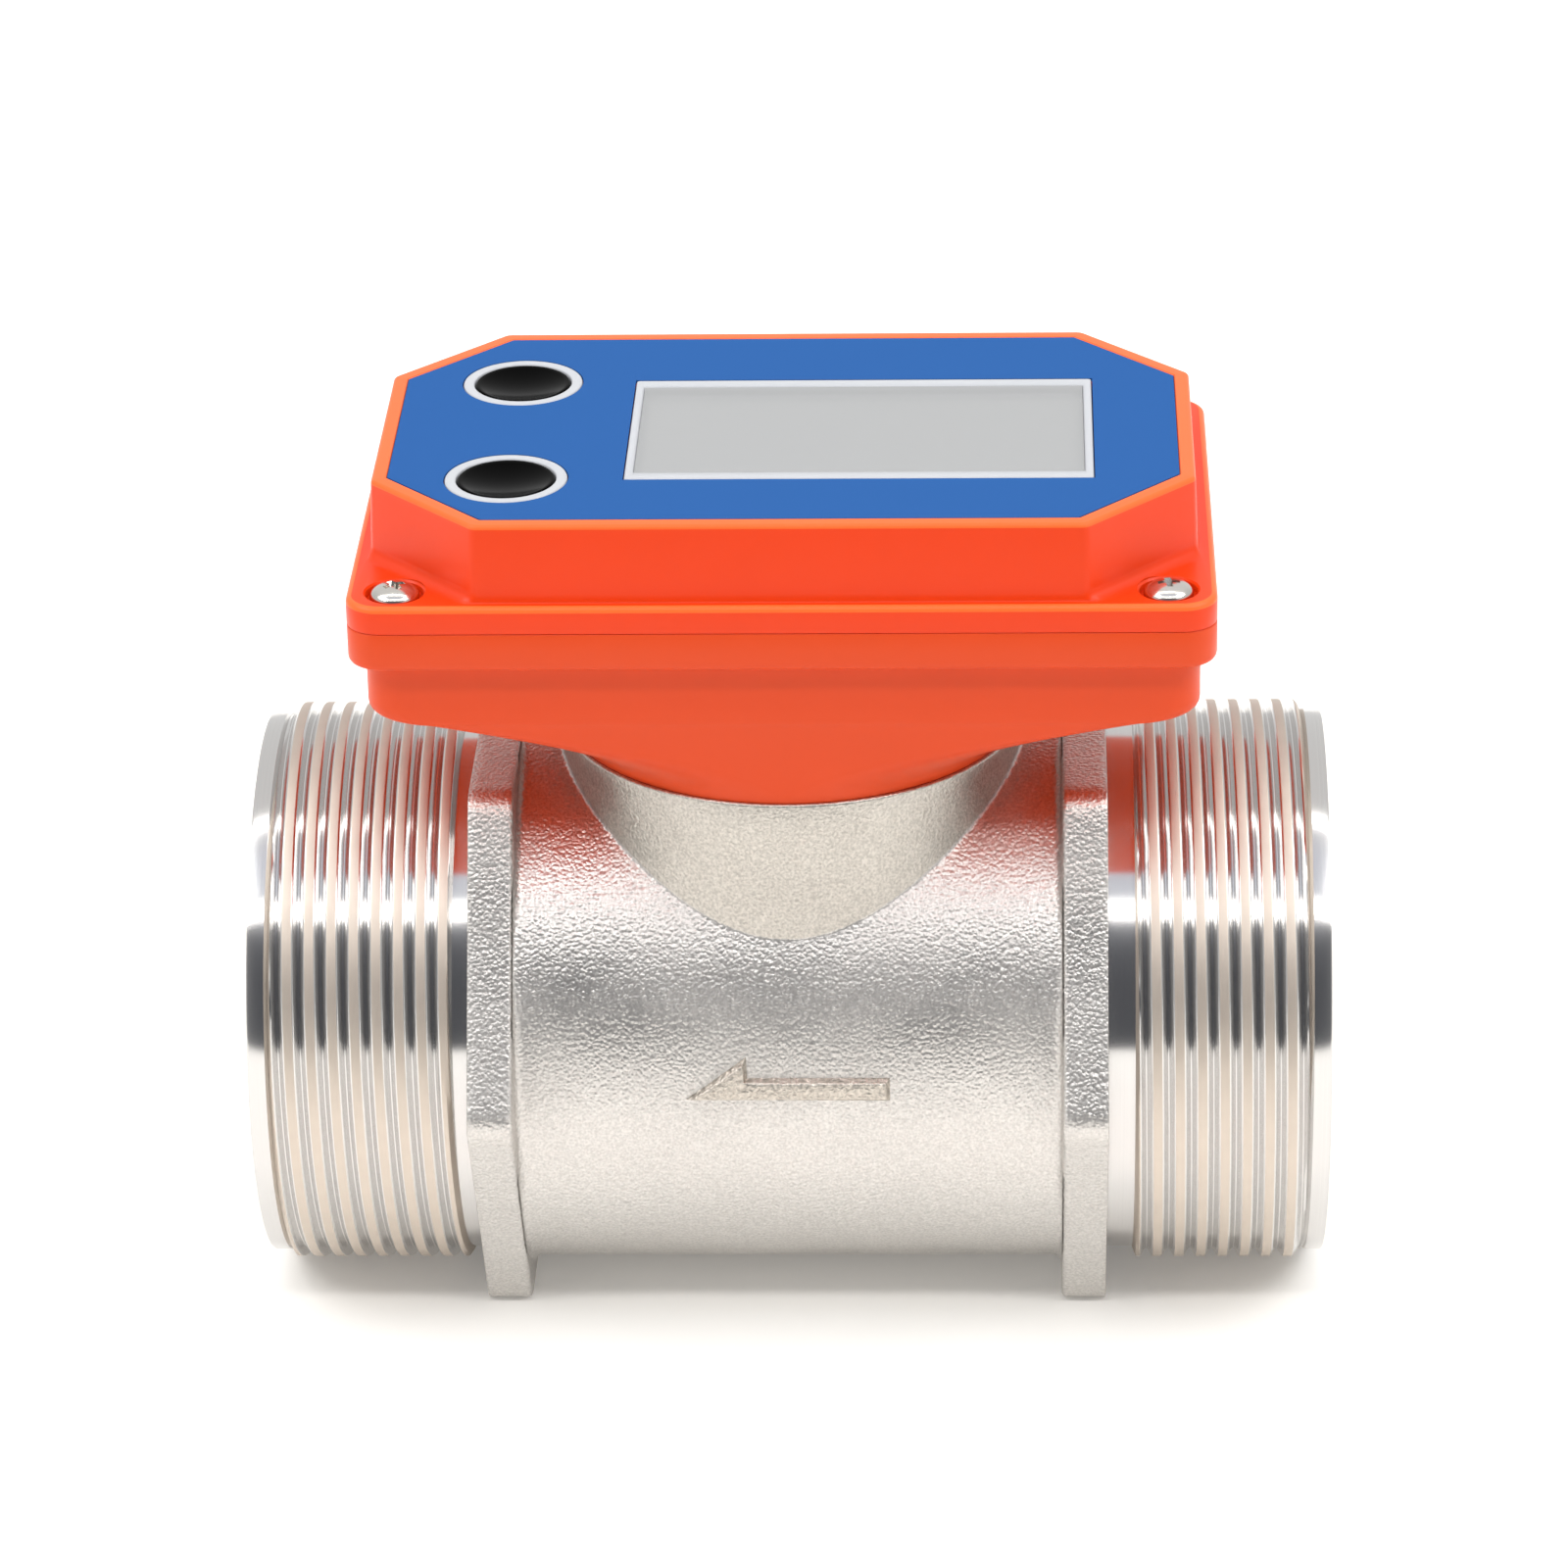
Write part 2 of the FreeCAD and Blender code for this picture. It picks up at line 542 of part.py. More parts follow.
def bearing(side):
    """Ceramic bush in the support hub."""
    outer = pipe_rod(BEARING_RADIUS, SUPPORT_FACE, SUPPORT_FACE + BEARING_LENGTH)
    hole = pipe_rod(SHAFT_RADIUS + RUN_GAP, SUPPORT_FACE - 1, SUPPORT_FACE + BEARING_LENGTH + 1)
    return on_side(outer.cut(hole), side)


def nose_hub():
    """Hub of a support with its rounded nose towards the pipe's end."""
    profile = [(SUPPORT_FACE, 0), (SUPPORT_FACE, HUB_RADIUS), (NOSE_START, HUB_RADIUS)]
    for degrees in (35, 60, 80):
        turn = math.radians(degrees)
        profile.append((NOSE_START + NOSE_LENGTH * math.sin(turn), HUB_RADIUS * math.cos(turn)))
    profile.append((NOSE_START + NOSE_LENGTH, 0))
    return pipe_revolve(profile)


def support(side):
    """Flow straightener that carries a bearing: outer ring, four flat vanes and the hub."""
    ring = pipe_rod(RING_OUTER, INSERT_STOP, RING_END)
    ring = ring.cut(pipe_rod(RING_INNER, INSERT_STOP - 1, RING_END + 1))
    half = VANE_THICKNESS / 2
    reach = (RING_INNER + RING_OUTER) / 2
    start, end = INSERT_STOP + VANE_INSET, RING_END - VANE_INSET
    vane = box(start, end, -half, half, AXIS_Z + HUB_RADIUS - 1, AXIS_Z + reach)
    first = 180 / VANE_COUNT
    vanes = [around_pipe(vane, first + k * 360 / VANE_COUNT) for k in range(VANE_COUNT)]
    seat_end = SUPPORT_FACE + BEARING_LENGTH
    whole = joined([ring, nose_hub()] + vanes)
    return on_side(whole.cut(pipe_rod(BEARING_RADIUS + PRESS_GAP, SUPPORT_FACE - 1, seat_end)), side)


def snap_ring(side):
    """Open spring ring in the bore groove, with two eared ends for pliers."""
    outer = GROOVE_RADIUS - SNAP_GAP
    inner = outer - SNAP_WIDTH
    start = GROOVE_START + SNAP_GAP / 2
    end = start + SNAP_THICKNESS
    ring = disc(outer, start, end).cut(disc(inner, start - 1, end + 1))
    half = math.radians(SNAP_OPENING / 2)
    far = 2 * outer
    wedge = Part.makePolygon([V(0, 0, start - 1), V(far, far * math.tan(half), start - 1),
                              V(far, -far * math.tan(half), start - 1), V(0, 0, start - 1)])
    ring = ring.cut(Part.Face(wedge).extrude(V(0, 0, SNAP_THICKNESS + 2)))
    ear_circle = outer - EAR_RADIUS - SNAP_GROOVE
    ears, holes = [], []
    for sign in (1, -1):
        x = ear_circle * math.cos(half)
        y = sign * (ear_circle * math.sin(half) + EAR_RADIUS * 0.75)
        ears.append(disc(EAR_RADIUS, start, end, x, y))
        holes.append(disc(EAR_HOLE_RADIUS, start - 1, end + 1, x, y))
    return on_side(along_pipe(joined([ring] + ears).cut(holes)), side)


# ---------------------------------------------------------------- head: shells
def flare_stations():
    """Height above the foot and share of the spread for each section of the flare."""
    edge_share = BOX_EDGE_RADIUS / (BOX_X - FOOT_RADIUS)
    stations = [(FLARE_HEIGHT * t, (1 - edge_share) * t ** FLARE_POWER) for t in (0.0, 0.4, 0.72, 1.0)]
    for degrees in (45, 90):
        turn = math.radians(degrees)
        rise = FLARE_HEIGHT + BOX_EDGE_RADIUS * (1 - math.cos(turn))
        stations.append((rise, 1 - edge_share * (1 - math.sin(turn))))
    return stations


def flare():
    """Housing wall that grows from the round foot into the box, whose lower edge is rounded."""
    flat = 0.1
    sections = []
    for height, spread in flare_stations():
        width = FOOT_RADIUS + (BOX_X - FOOT_RADIUS) * spread
        depth = FOOT_RADIUS + (BOX_Y - FOOT_RADIUS) * spread
        corner = FOOT_RADIUS - flat + (BOX_CORNER - FOOT_RADIUS + flat) * spread
        corner = min(corner, width - flat, depth - flat)
        sections.append(rounded_outline(rectangle(width, depth), corner, BOSS_TOP + height))
    return Part.makeLoft(sections, True, True)


def base_outside():
    """Outer form of the base housing: flared foot, box and flange."""
    walls = plate(rectangle(BOX_X, BOX_Y), BOX_CORNER, BOX_BOTTOM + BOX_EDGE_RADIUS, BOX_TOP + SOLID)
    flange = plate(rectangle(FLANGE_X, FLANGE_Y), FLANGE_CORNER, BOX_TOP, SPLIT)
    flange = bevel_edges_at(flange, BOX_TOP, FLANGE_BEVEL)
    return flare().fuse([walls, flange])


def base_cavity():
    """Space inside the base housing: round foot, battery recess and box, clear of the corner posts."""
    half_x, half_y = BOX_X - HEAD_WALL, BOX_Y - HEAD_WALL
    floor = BOX_BOTTOM + HEAD_WALL
    recess = rectangle(TRAY_END_X + TRAY_GAP, TRAY_HALF_Y + TRAY_GAP)
    spaces = [
        plate(recess, 0.0, TRAY_BOTTOM - TRAY_GAP, floor + SOLID),
        plate(rectangle(half_x, half_y), BOX_CORNER - HEAD_WALL, floor, SPLIT + 1),
    ]
    posts = [disc(LID_SCREW_RADIUS + POST_WALL, floor - 1, SPLIT + 2, x, y) for x, y in LID_SCREW_XY]
    return disc(FOOT_RADIUS - HEAD_WALL - FOOT_STEP, FLOOR_TOP, floor + SOLID).fuse(spaces).cut(posts)


def gasket_plate(z0, z1):
    """Flat outline that the gasket and its recess share."""
    corners = rectangle(FLANGE_X - GASKET_INSET, FLANGE_Y - GASKET_INSET)
    return plate(corners, FLANGE_CORNER - GASKET_INSET, z0, z1)


def base_housing():
    """Lower shell of the head: spigot in the boss, seal groove, flared walls and screwed flange."""
    spigot = disc(SPIGOT_RADIUS, SPIGOT_END, BOSS_TOP + SOLID)
    shell = joined([base_outside(), spigot]).cut(base_cavity())
    tray_posts = [disc(SMALL_POST_RADIUS, FLOOR_TOP - 1, TRAY_BOTTOM, x, y) for x, y in TRAY_SCREW_XY]
    shell = joined([shell] + tray_posts)
    groove_z = (SPIGOT_END + BOSS_TOP) / 2
    low, high = groove_z - SEAL_HEIGHT / 2, groove_z + SEAL_HEIGHT / 2
    spaces = [
        tube(SPIGOT_RADIUS + 1, SPIGOT_RADIUS - SEAL_GROOVE_DEPTH, low, high),
        disc(CAPSULE_RADIUS + CAPSULE_GAP, SPIGOT_END - 1, FLOOR_TOP + 1),
        gasket_plate(SPLIT - GASKET_THICKNESS, SPLIT + 1),
    ]
    for x, y in FOOT_SCREW_XY:
        spaces.append(disc(FOOT_SCREW_RADIUS + SCREW_CLEARANCE, SPIGOT_END - 1, FLOOR_TOP + 1, x, y))
    low_end = SPLIT - GASKET_THICKNESS - LID_SCREW_REACH - HOLE_END_GAP
    for x, y in LID_SCREW_XY:
        spaces.append(disc(LID_SCREW_RADIUS + SCREW_FIT, low_end, SPLIT + 1, x, y))
    low_end = TRAY_BOTTOM - SMALL_SCREW_REACH - HOLE_END_GAP
    for x, y in TRAY_SCREW_XY:
        spaces.append(disc(SMALL_SCREW_RADIUS + SCREW_FIT, low_end, TRAY_BOTTOM + 1, x, y))
    return shell.cut(spaces)


def foot_seal():
    """Square seal ring in the spigot groove, against the pocket wall."""
    middle = (SPIGOT_END + BOSS_TOP) / 2
    half = SEAL_HEIGHT / 2 - SEAL_GAP
    inner = SPIGOT_RADIUS - SEAL_GROOVE_DEPTH + SEAL_GAP
    return tube(POCKET_RADIUS - SEAL_GAP, inner, middle - half, middle + half)


def lid_gasket():
    """Flat gasket under the lid, holed for the lid screws."""
    sheet = gasket_plate(SPLIT - GASKET_THICKNESS, SPLIT)
    radius = LID_SCREW_RADIUS + SCREW_CLEARANCE
    holes = [disc(radius, SPLIT - 2, SPLIT + 1, x, y) for x, y in LID_SCREW_XY]
    return sheet.cut([base_cavity()] + holes)


def lid_outside():
    """Flange and octagonal bezel block of the lid."""
    flange = plate(rectangle(FLANGE_X, FLANGE_Y), FLANGE_CORNER, SPLIT, LID_TOP)
    flange = bevel_edges_at(flange, LID_TOP, FLANGE_BEVEL)
    foot = octagon(BEZEL_X + BEZEL_DRAFT, BEZEL_Y + BEZEL_DRAFT, BEZEL_CUT_X, BEZEL_CUT_Y)
    top = octagon(BEZEL_X, BEZEL_Y, BEZEL_CUT_X, BEZEL_CUT_Y)
    block = tapered_block(foot, top, LID_TOP - SOLID, RIM)
    uprights = [e for e in block.Edges if e.BoundBox.ZLength > BEZEL_HEIGHT / 2]
    block = bevel_edges_at(block.makeFillet(BEZEL_CORNER, uprights), RIM, BEZEL_BEVEL)
    return flange.fuse(block)


def window_block(grow, z0, z1):
    """Block over the window area, grown all round."""
    corners = rectangle(WINDOW_HALF[0] + grow, WINDOW_HALF[1] + grow, *WINDOW_CENTRE)
    return plate(corners, 0.0, z0, z1)


def window_hole(inset_x, inset_y, z0, z1):
    """Block over the window area, inset by its own amount along and across."""
    corners = rectangle(WINDOW_HALF[0] - inset_x, WINDOW_HALF[1] - inset_y, *WINDOW_CENTRE)
    return plate(corners, 0.0, z0, z1)


def label_outline(shrink):
    """Corners of the label, shrunk all round."""
    return octagon(LABEL_X - shrink, LABEL_Y - shrink, LABEL_CUT_X, LABEL_CUT_Y)


def lid():
    """Upper shell of the head, open below, with seats for label, window and buttons."""
    cut_x = BEZEL_CUT_X - HEAD_WALL * 0.4
    cut_y = BEZEL_CUT_Y - HEAD_WALL * 0.4
    cavity = plate(octagon(CAVITY_X, CAVITY_Y, cut_x, cut_y), 0.0, SPLIT - 1, PLATE_UNDER)
    shell = lid_outside().cut(cavity)
    posts = [disc(SMALL_POST_RADIUS, BOARD_TOP, PLATE_UNDER + 1, x, y) for x, y in BOARD_SCREW_XY]
    shell = joined([shell] + posts)
    spaces = [
        plate(label_outline(0.0), 0.0, LABEL_SEAT, RIM + 1),
        window_block(FIT_GAP, FRAME_BOTTOM, RIM + 1),
        window_hole(FRAME_SEAT, FRAME_SEAT, PLATE_UNDER - 1, RIM),
    ]
    for y in BUTTON_Y.values():
        spaces.append(disc(RING_RADIUS + FIT_GAP, LABEL_SEAT - RING_SEAT, RIM + 1, BUTTON_X, y))
        spaces.append(disc(CAP_RADIUS + 2 * CAP_GAP, PLATE_UNDER - 1, RIM, BUTTON_X, y))
    for x, y in LID_SCREW_XY:
        spaces.append(disc(LID_SCREW_RADIUS + SCREW_CLEARANCE, SPLIT - 1, LID_TOP + 1, x, y))
        seat = LID_TOP - LID_COUNTERBORE
        spaces.append(disc(LID_HEAD_RADIUS + COUNTERBORE_GAP, seat, LID_TOP + 1, x, y))
    for x, y in BOARD_SCREW_XY:
        hole_top = BOARD_TOP + (PLATE_UNDER - BOARD_TOP) * 0.8
        spaces.append(disc(SMALL_SCREW_RADIUS + SCREW_FIT, BOARD_TOP - 1, hole_top, x, y))
    return shell.cut(spaces)


# ---------------------------------------------------------------- head: face
def face_label():
    """Printed face label with openings for the window frame and the button rings."""
    sheet = plate(label_outline(LABEL_GAP), 0.0, LABEL_SEAT, LABEL_TOP)
    holes = [window_block(FIT_GAP, LABEL_SEAT - 1, LABEL_TOP + 1)]
    for y in BUTTON_Y.values():
        holes.append(disc(RING_RADIUS + FIT_GAP, LABEL_SEAT - 1, LABEL_TOP + 1, BUTTON_X, y))
    return sheet.cut(holes)


def window_frame():
    """Light frame round the display window, with a lip that carries it."""
    frame = window_block(0.0, FRAME_BOTTOM, FRAME_BOTTOM + WINDOW_FRAME_HEIGHT)
    lip_top = FRAME_BOTTOM + WINDOW_LIP_HEIGHT
    upper = window_hole(WINDOW_FRAME_WIDTH, WINDOW_FRAME_WIDTH_Y, lip_top, RIM + 1)
    through = window_hole(
        WINDOW_FRAME_WIDTH + WINDOW_LIP, WINDOW_FRAME_WIDTH_Y + WINDOW_LIP, FRAME_BOTTOM - 1, RIM + 1)
    return frame.cut([upper, through])


def display_window():
    """Clear window set into the frame."""
    low = FRAME_BOTTOM + WINDOW_LIP_HEIGHT
    inset_x, inset_y = WINDOW_FRAME_WIDTH + FIT_GAP / 2, WINDOW_FRAME_WIDTH_Y + FIT_GAP / 2
    return window_hole(inset_x, inset_y, low, low + WINDOW_THICKNESS)


def button_ring(name):
    """Raised ring round a button, seated in the lid."""
    low = LABEL_SEAT - RING_SEAT
    ring = tube(RING_RADIUS, CAP_RADIUS + CAP_GAP, low, low + RING_HEIGHT, BUTTON_X, BUTTON_Y[name])
    return ring


def button_cap(name):
    """Domed push cap with the flange that stops it under the face plate."""
    x, y = BUTTON_X, BUTTON_Y[name]
    shoulder = LABEL_TOP + CAP_PROUD
    dome = Part.makeCone(CAP_RADIUS, CAP_RADIUS * CAP_CROWN, CAP_DOME, V(x, y, shoulder))
    stem = disc(CAP_RADIUS, PLUNGER_TOP, shoulder, x, y)
    flange_radius = CAP_RADIUS + 2 * CAP_GAP + CAP_FLANGE
    flange = disc(flange_radius, PLUNGER_TOP, CAP_FLANGE_TOP, x, y)
    return joined([stem, dome, flange])


# ---------------------------------------------------------------- head: electronics
def switch_body(name):
    """Tactile switch soldered on the board, with the hole its plunger runs in."""
    half = SWITCH_SIZE / 2
    x, y = BUTTON_X, BUTTON_Y[name]
    case = box(x - half, x + half, y - half, y + half, BOARD_TOP, SWITCH_TOP)
    return case.cut(disc(PLUNGER_RADIUS + PLUNGER_GAP, BOARD_TOP - 1, SWITCH_TOP + 1, x, y))


def switch_plunger(name):
    """Plunger that the cap pushes."""
    return disc(PLUNGER_RADIUS, PLUNGER_END, PLUNGER_TOP, BUTTON_X, BUTTON_Y[name])


def main_board():
    """Circuit board, outlined by the lid's cavity and screwed to its posts."""
    corners = octagon(CAVITY_X - BOARD_GAP, CAVITY_Y - BOARD_GAP, BEZEL_CUT_X, BEZEL_CUT_Y)
    board = plate(corners, 0.0, BOARD_BOTTOM, BOARD_TOP)
    radius = SMALL_SCREW_RADIUS + SCREW_CLEARANCE
    holes = [disc(radius, BOARD_BOTTOM - 1, BOARD_TOP + 1, x, y) for x, y in BOARD_SCREW_XY]
    return board.cut(holes)


def board_chips():
    """Packages on the underside of the board, near its ends."""
    chips = []
    for end, way, size, height in CHIPS:
        half = size / 2
        x = end * (CAVITY_X - BOARD_GAP - CHIP_INSET)
        y = way * BUTTON_PITCH / 2
        chips.append(box(x - half, x + half, y - half, y + half, BOARD_BOTTOM - height, BOARD_BOTTOM))
    return Part.makeCompound(chips)


def lcd_panel():
    """Display glass under the window."""
    inset = FRAME_SEAT + FIT_GAP
    return window_hole(inset, inset, PANEL_TOP - PANEL_THICKNESS, PANEL_TOP)


def lcd_holder():
    """Tray between the board and the display glass."""
    inset = FRAME_SEAT + FIT_GAP
    top = PANEL_TOP - PANEL_THICKNESS
    outer = window_hole(inset, inset, BOARD_TOP, top)
    return outer.cut(window_hole(inset + HOLDER_WALL, inset + HOLDER_WALL, BOARD_TOP - 1, top + 1))


def screw(x, y, seat, reach, shank, head, height):
    """Pan-head screw, head on the seat and shank down from it."""
    crown = Part.makeCone(head, head * HEAD_CROWN, height, V(x, y, seat))
    return joined([crown, disc(shank, seat - reach, seat + SOLID, x, y)])


def lid_screws():
    """Four screws through the lid flange into the base."""
    seat = LID_TOP - LID_COUNTERBORE
    reach = seat - (SPLIT - GASKET_THICKNESS) + LID_SCREW_REACH
    shapes = []
    for x, y in LID_SCREW_XY:
        shapes.append(screw(x, y, seat, reach, LID_SCREW_RADIUS, LID_HEAD_RADIUS, LID_HEAD_HEIGHT))
    return Part.makeCompound(shapes)


def foot_screws():
    """Four screws through the housing floor into the boss."""
    reach = FLOOR_TOP - POCKET_FLOOR + FOOT_SCREW_REACH
    shapes = [
        screw(x, y, FLOOR_TOP, reach, FOOT_SCREW_RADIUS, FOOT_HEAD_RADIUS, FOOT_HEAD_HEIGHT)
        for x, y in FOOT_SCREW_XY
    ]
    return Part.makeCompound(shapes)


def board_screws():
    """Screws that hold the board up against the lid's posts."""
    shapes = []
    reach = BOARD_THICKNESS + (PLATE_UNDER - BOARD_TOP) * 0.65
    for x, y in BOARD_SCREW_XY:
        upright = screw(x, y, 0.0, reach, SMALL_SCREW_RADIUS, SMALL_HEAD_RADIUS, SMALL_HEAD_HEIGHT)
        hung = upright.mirror(V(0, 0, 0), V(0, 0, 1))
        hung.translate(V(0, 0, BOARD_BOTTOM))
        shapes.append(hung)
    return Part.makeCompound(shapes)


def tray_screws():
    """Screws that hold the battery tray to its posts."""
    reach = TRAY_FLOOR + SMALL_SCREW_REACH
    shapes = [
        screw(x, y, TRAY_SEAT, reach, SMALL_SCREW_RADIUS, SMALL_HEAD_RADIUS, SMALL_HEAD_HEIGHT)
        for x, y in TRAY_SCREW_XY
    ]
    return Part.makeCompound(shapes)


def sensor_capsule():
    """Blind plastic capsule that hangs from the housing floor into the boss well."""
    flange_top = FLOOR_TOP + CAPSULE_FLANGE_HEIGHT
    barrel = disc(CAPSULE_RADIUS, CAPSULE_BOTTOM, flange_top)
    flange = disc(CAPSULE_FLANGE_RADIUS, FLOOR_TOP, flange_top)
    inside = disc(CAPSULE_RADIUS - CAPSULE_WALL, STICK_BOTTOM, flange_top + 1)
    return joined([barrel, flange]).cut(inside)


def sensor_board():
    """Narrow upright board from the capsule up to the header."""
    half, thin = STICK_WIDTH / 2, STICK_THICKNESS / 2
    return box(-half, half, -thin, thin, STICK_BOTTOM, HEADER_BOTTOM + STICK_IN_HEADER)


def hall_sensor():
    """Magnetic sensor at the foot of its board."""
    width, depth, height = HALL_SIZE
    low = STICK_BOTTOM + HALL_FOOT
    face = STICK_THICKNESS / 2
    return box(-width / 2, width / 2, face, face + depth, low, low + height)


def sensor_header():
    """Socket under the main board that takes the sensor board's top edge."""
    width, depth, height = HEADER_SIZE
    block = box(-width / 2, width / 2, -depth / 2, depth / 2, HEADER_BOTTOM, BOARD_BOTTOM)
    half, thin = STICK_WIDTH / 2 + SLOT_GAP, STICK_THICKNESS / 2 + SLOT_GAP
    slot = box(-half, half, -thin, thin, HEADER_BOTTOM - 1, HEADER_BOTTOM + STICK_IN_HEADER)
    return block.cut(slot)


def cell_rows():
    """Cross positions of the two cells and the way each points."""
    return ((CELL_PITCH / 2, 1), (-CELL_PITCH / 2, -1))


def battery_cells():
    """Two AAA cells side by side, one each way round."""
    cells = []
    half = CELL_LENGTH / 2
    for y, way in cell_rows():
        can = Part.makeCylinder(CELL_RADIUS, CELL_LENGTH, V(-half, y, CELL_Z), V(1, 0, 0))
        nub_foot = V(way * (half - SOLID), y, CELL_Z)
        nub = Part.makeCylinder(CELL_NUB_RADIUS, CELL_NUB_LENGTH + SOLID, nub_foot, V(way, 0, 0))
        cells.append(joined([can, nub]))
    return Part.makeCompound(cells)


def battery_tray():
    """Open tray for the cells: floor, two end walls, low cradles and a slot for the sensor board."""
    def slab(x0, x1, top):
        return box(min(x0, x1), max(x0, x1), -TRAY_HALF_Y, TRAY_HALF_Y, TRAY_BOTTOM, top)

    half_rib = TRAY_RIB / 2
    wall_top = TRAY_SEAT + TRAY_WALL_HEIGHT
    rib_top = CELL_Z - CELL_RADIUS * TRAY_CRADLE
    seats = []
    for y, _ in cell_rows():
        start = V(-CELL_LENGTH / 2, y, CELL_Z)
        seats.append(Part.makeCylinder(CELL_RADIUS + CELL_GAP, CELL_LENGTH, start, V(1, 0, 0)))
    pieces = [slab(-TRAY_END_X, TRAY_END_X, TRAY_SEAT)]
    for sign in (1, -1):
        pieces.append(slab(sign * (TRAY_END_X - TRAY_WALL), sign * TRAY_END_X, wall_top))
        rib_x = sign * CELL_LENGTH / 4
        pieces.append(slab(rib_x - half_rib, rib_x + half_rib, rib_top).cut(seats))
    half, thin = STICK_WIDTH / 2 + 3 * SLOT_GAP, STICK_THICKNESS / 2 + 3 * SLOT_GAP
    spaces = [box(-half, half, -thin, thin, TRAY_BOTTOM - 1, wall_top)]
    for x, y in TRAY_SCREW_XY:
        spaces.append(disc(SMALL_SCREW_RADIUS + SCREW_CLEARANCE, TRAY_BOTTOM - 1, TRAY_SEAT + 1, x, y))
    return joined(pieces).cut(spaces)


def battery_contacts():
    """Spring-steel end contacts: a plate behind each cell end and a blade up to the main board."""
    shapes = []
    for sign in (1, -1):
        inner, outer = sorted((sign * CONTACT_X, sign * (CONTACT_X + CONTACT_THICKNESS)))
        for y, _ in cell_rows():
            half, thin = CONTACT_WIDTH / 2, BLADE_CONTACT_WIDTH / 2
            low = box(inner, outer, y - half, y + half, TRAY_SEAT, TRAY_SEAT + TRAY_WALL_HEIGHT)
            blade_strip = box(inner, outer, y - thin, y + thin, TRAY_SEAT, BOARD_BOTTOM)
            shapes.append(joined([low, blade_strip]))
    return Part.makeCompound(shapes)


# ---------------------------------------------------------------- everything, by node name
def all_nodes():
    """Every sub-part by its node name."""
    nodes = {"flow_body": flow_body()}
    for side in SIDES:
        nodes[side + "_support"] = support(side)
        nodes[side + "_bearing"] = bearing(side)
        nodes[side + "_thrust_washer"] = thrust_washer(side)
        nodes[side + "_snap_ring"] = snap_ring(side)
    for name in BUTTON_Y:
        nodes[name + "_button"] = button_cap(name)
        nodes[name + "_button_ring"] = button_ring(name)
        nodes[name + "_switch"] = switch_body(name)
        nodes[name + "_plunger"] = switch_plunger(name)
    builders = (
        rotor, rotor_magnets, rotor_shaft,
        base_housing, foot_seal, foot_screws, lid_gasket, lid, lid_screws,
        face_label, window_frame, display_window, lcd_panel, lcd_holder,
        main_board, board_chips, board_screws,
        sensor_capsule, sensor_board, hall_sensor, sensor_header,
        battery_tray, battery_cells, battery_contacts, tray_screws,
    )
    for build in builders:
        nodes[build.__name__] = build()
    return nodes


def main():
    """Builds each node and writes it as one STEP file."""
    os.makedirs("parts", exist_ok=True)
    for name, shape in all_nodes().items():
        shape.exportStep(os.path.join("parts", name + ".step"))
        print(f"{name}: {len(shape.Solids)} solid, {shape.Volume:.1f} mm3, valid {shape.isValid()}")


main()
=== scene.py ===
"""Looks of a turbine flow meter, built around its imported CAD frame.

Lengths in the classes are millimetres. They turn into metres only where a mesh, a node or
the camera is made. X runs along the pipe, Z points up through the display head.
"""

import logging
import math
from dataclasses import dataclass, field
from enum import Enum, IntEnum
from functools import partial
from typing import Any, Callable, ClassVar, Sequence

import bmesh
import bpy
from mathutils import Matrix, Vector


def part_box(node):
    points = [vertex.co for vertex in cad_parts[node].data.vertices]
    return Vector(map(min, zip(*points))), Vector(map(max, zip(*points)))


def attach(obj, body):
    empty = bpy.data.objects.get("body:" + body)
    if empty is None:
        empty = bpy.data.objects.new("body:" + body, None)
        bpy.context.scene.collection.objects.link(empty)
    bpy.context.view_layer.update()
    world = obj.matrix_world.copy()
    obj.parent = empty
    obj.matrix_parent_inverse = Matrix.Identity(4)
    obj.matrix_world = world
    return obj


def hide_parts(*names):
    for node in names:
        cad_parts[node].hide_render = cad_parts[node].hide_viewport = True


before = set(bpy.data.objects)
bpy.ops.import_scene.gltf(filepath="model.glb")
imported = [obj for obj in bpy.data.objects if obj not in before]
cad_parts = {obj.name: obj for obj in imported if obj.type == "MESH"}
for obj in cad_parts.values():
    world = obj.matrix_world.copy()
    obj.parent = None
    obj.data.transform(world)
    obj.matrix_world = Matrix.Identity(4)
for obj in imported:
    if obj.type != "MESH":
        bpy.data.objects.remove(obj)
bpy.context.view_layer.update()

MM = 0.001
CAD_SCREW_HEAD = 2.72  # radius of a lid screw's head in the CAD, mm
TURN = 2 * math.pi
BEND = 0.3  # share of a small edge's radius at its middle point
MERGE = 2e-7  # points closer than this are one point, m
CRISP = 38.0  # edges that turn by more than this many degrees stay crisp
SOFT = 50.0  # the same for moulded pieces with rounded edges
LOG = logging.getLogger("flow_meter")

Point = tuple[float, float, float]
Flat = tuple[float, float]
Tree = bpy.types.NodeTree
Piece = bpy.types.Object


class Body(Enum):
    """Bodies of the part's own motion that pieces ride on."""

    HOUSING = "housing"
    TURBINE = "turbine"
    SET_KEY = "set_key"
    CLEAR_KEY = "clear_key"


class PipeSlot(IntEnum):
    """Finish numbers of the pipe body."""

    CAST = 0
    TURNED = 1
    DRESSED = 2
    CREST = 3


# ---------------------------------------------------------------- shared helpers
def linear(code: str) -> tuple[float, float, float, float]:
    """Turns an sRGB hex colour into linear light.

    Args:
        code: Six hex digits.

    Returns:
        Red, green, blue and an alpha of one.
    """
    parts = [int(code[i:i + 2], 16) / 255 for i in (0, 2, 4)]
    light = [c / 12.92 if c <= 0.04045 else ((c + 0.055) / 1.055) ** 2.4 for c in parts]
    return (light[0], light[1], light[2], 1.0)


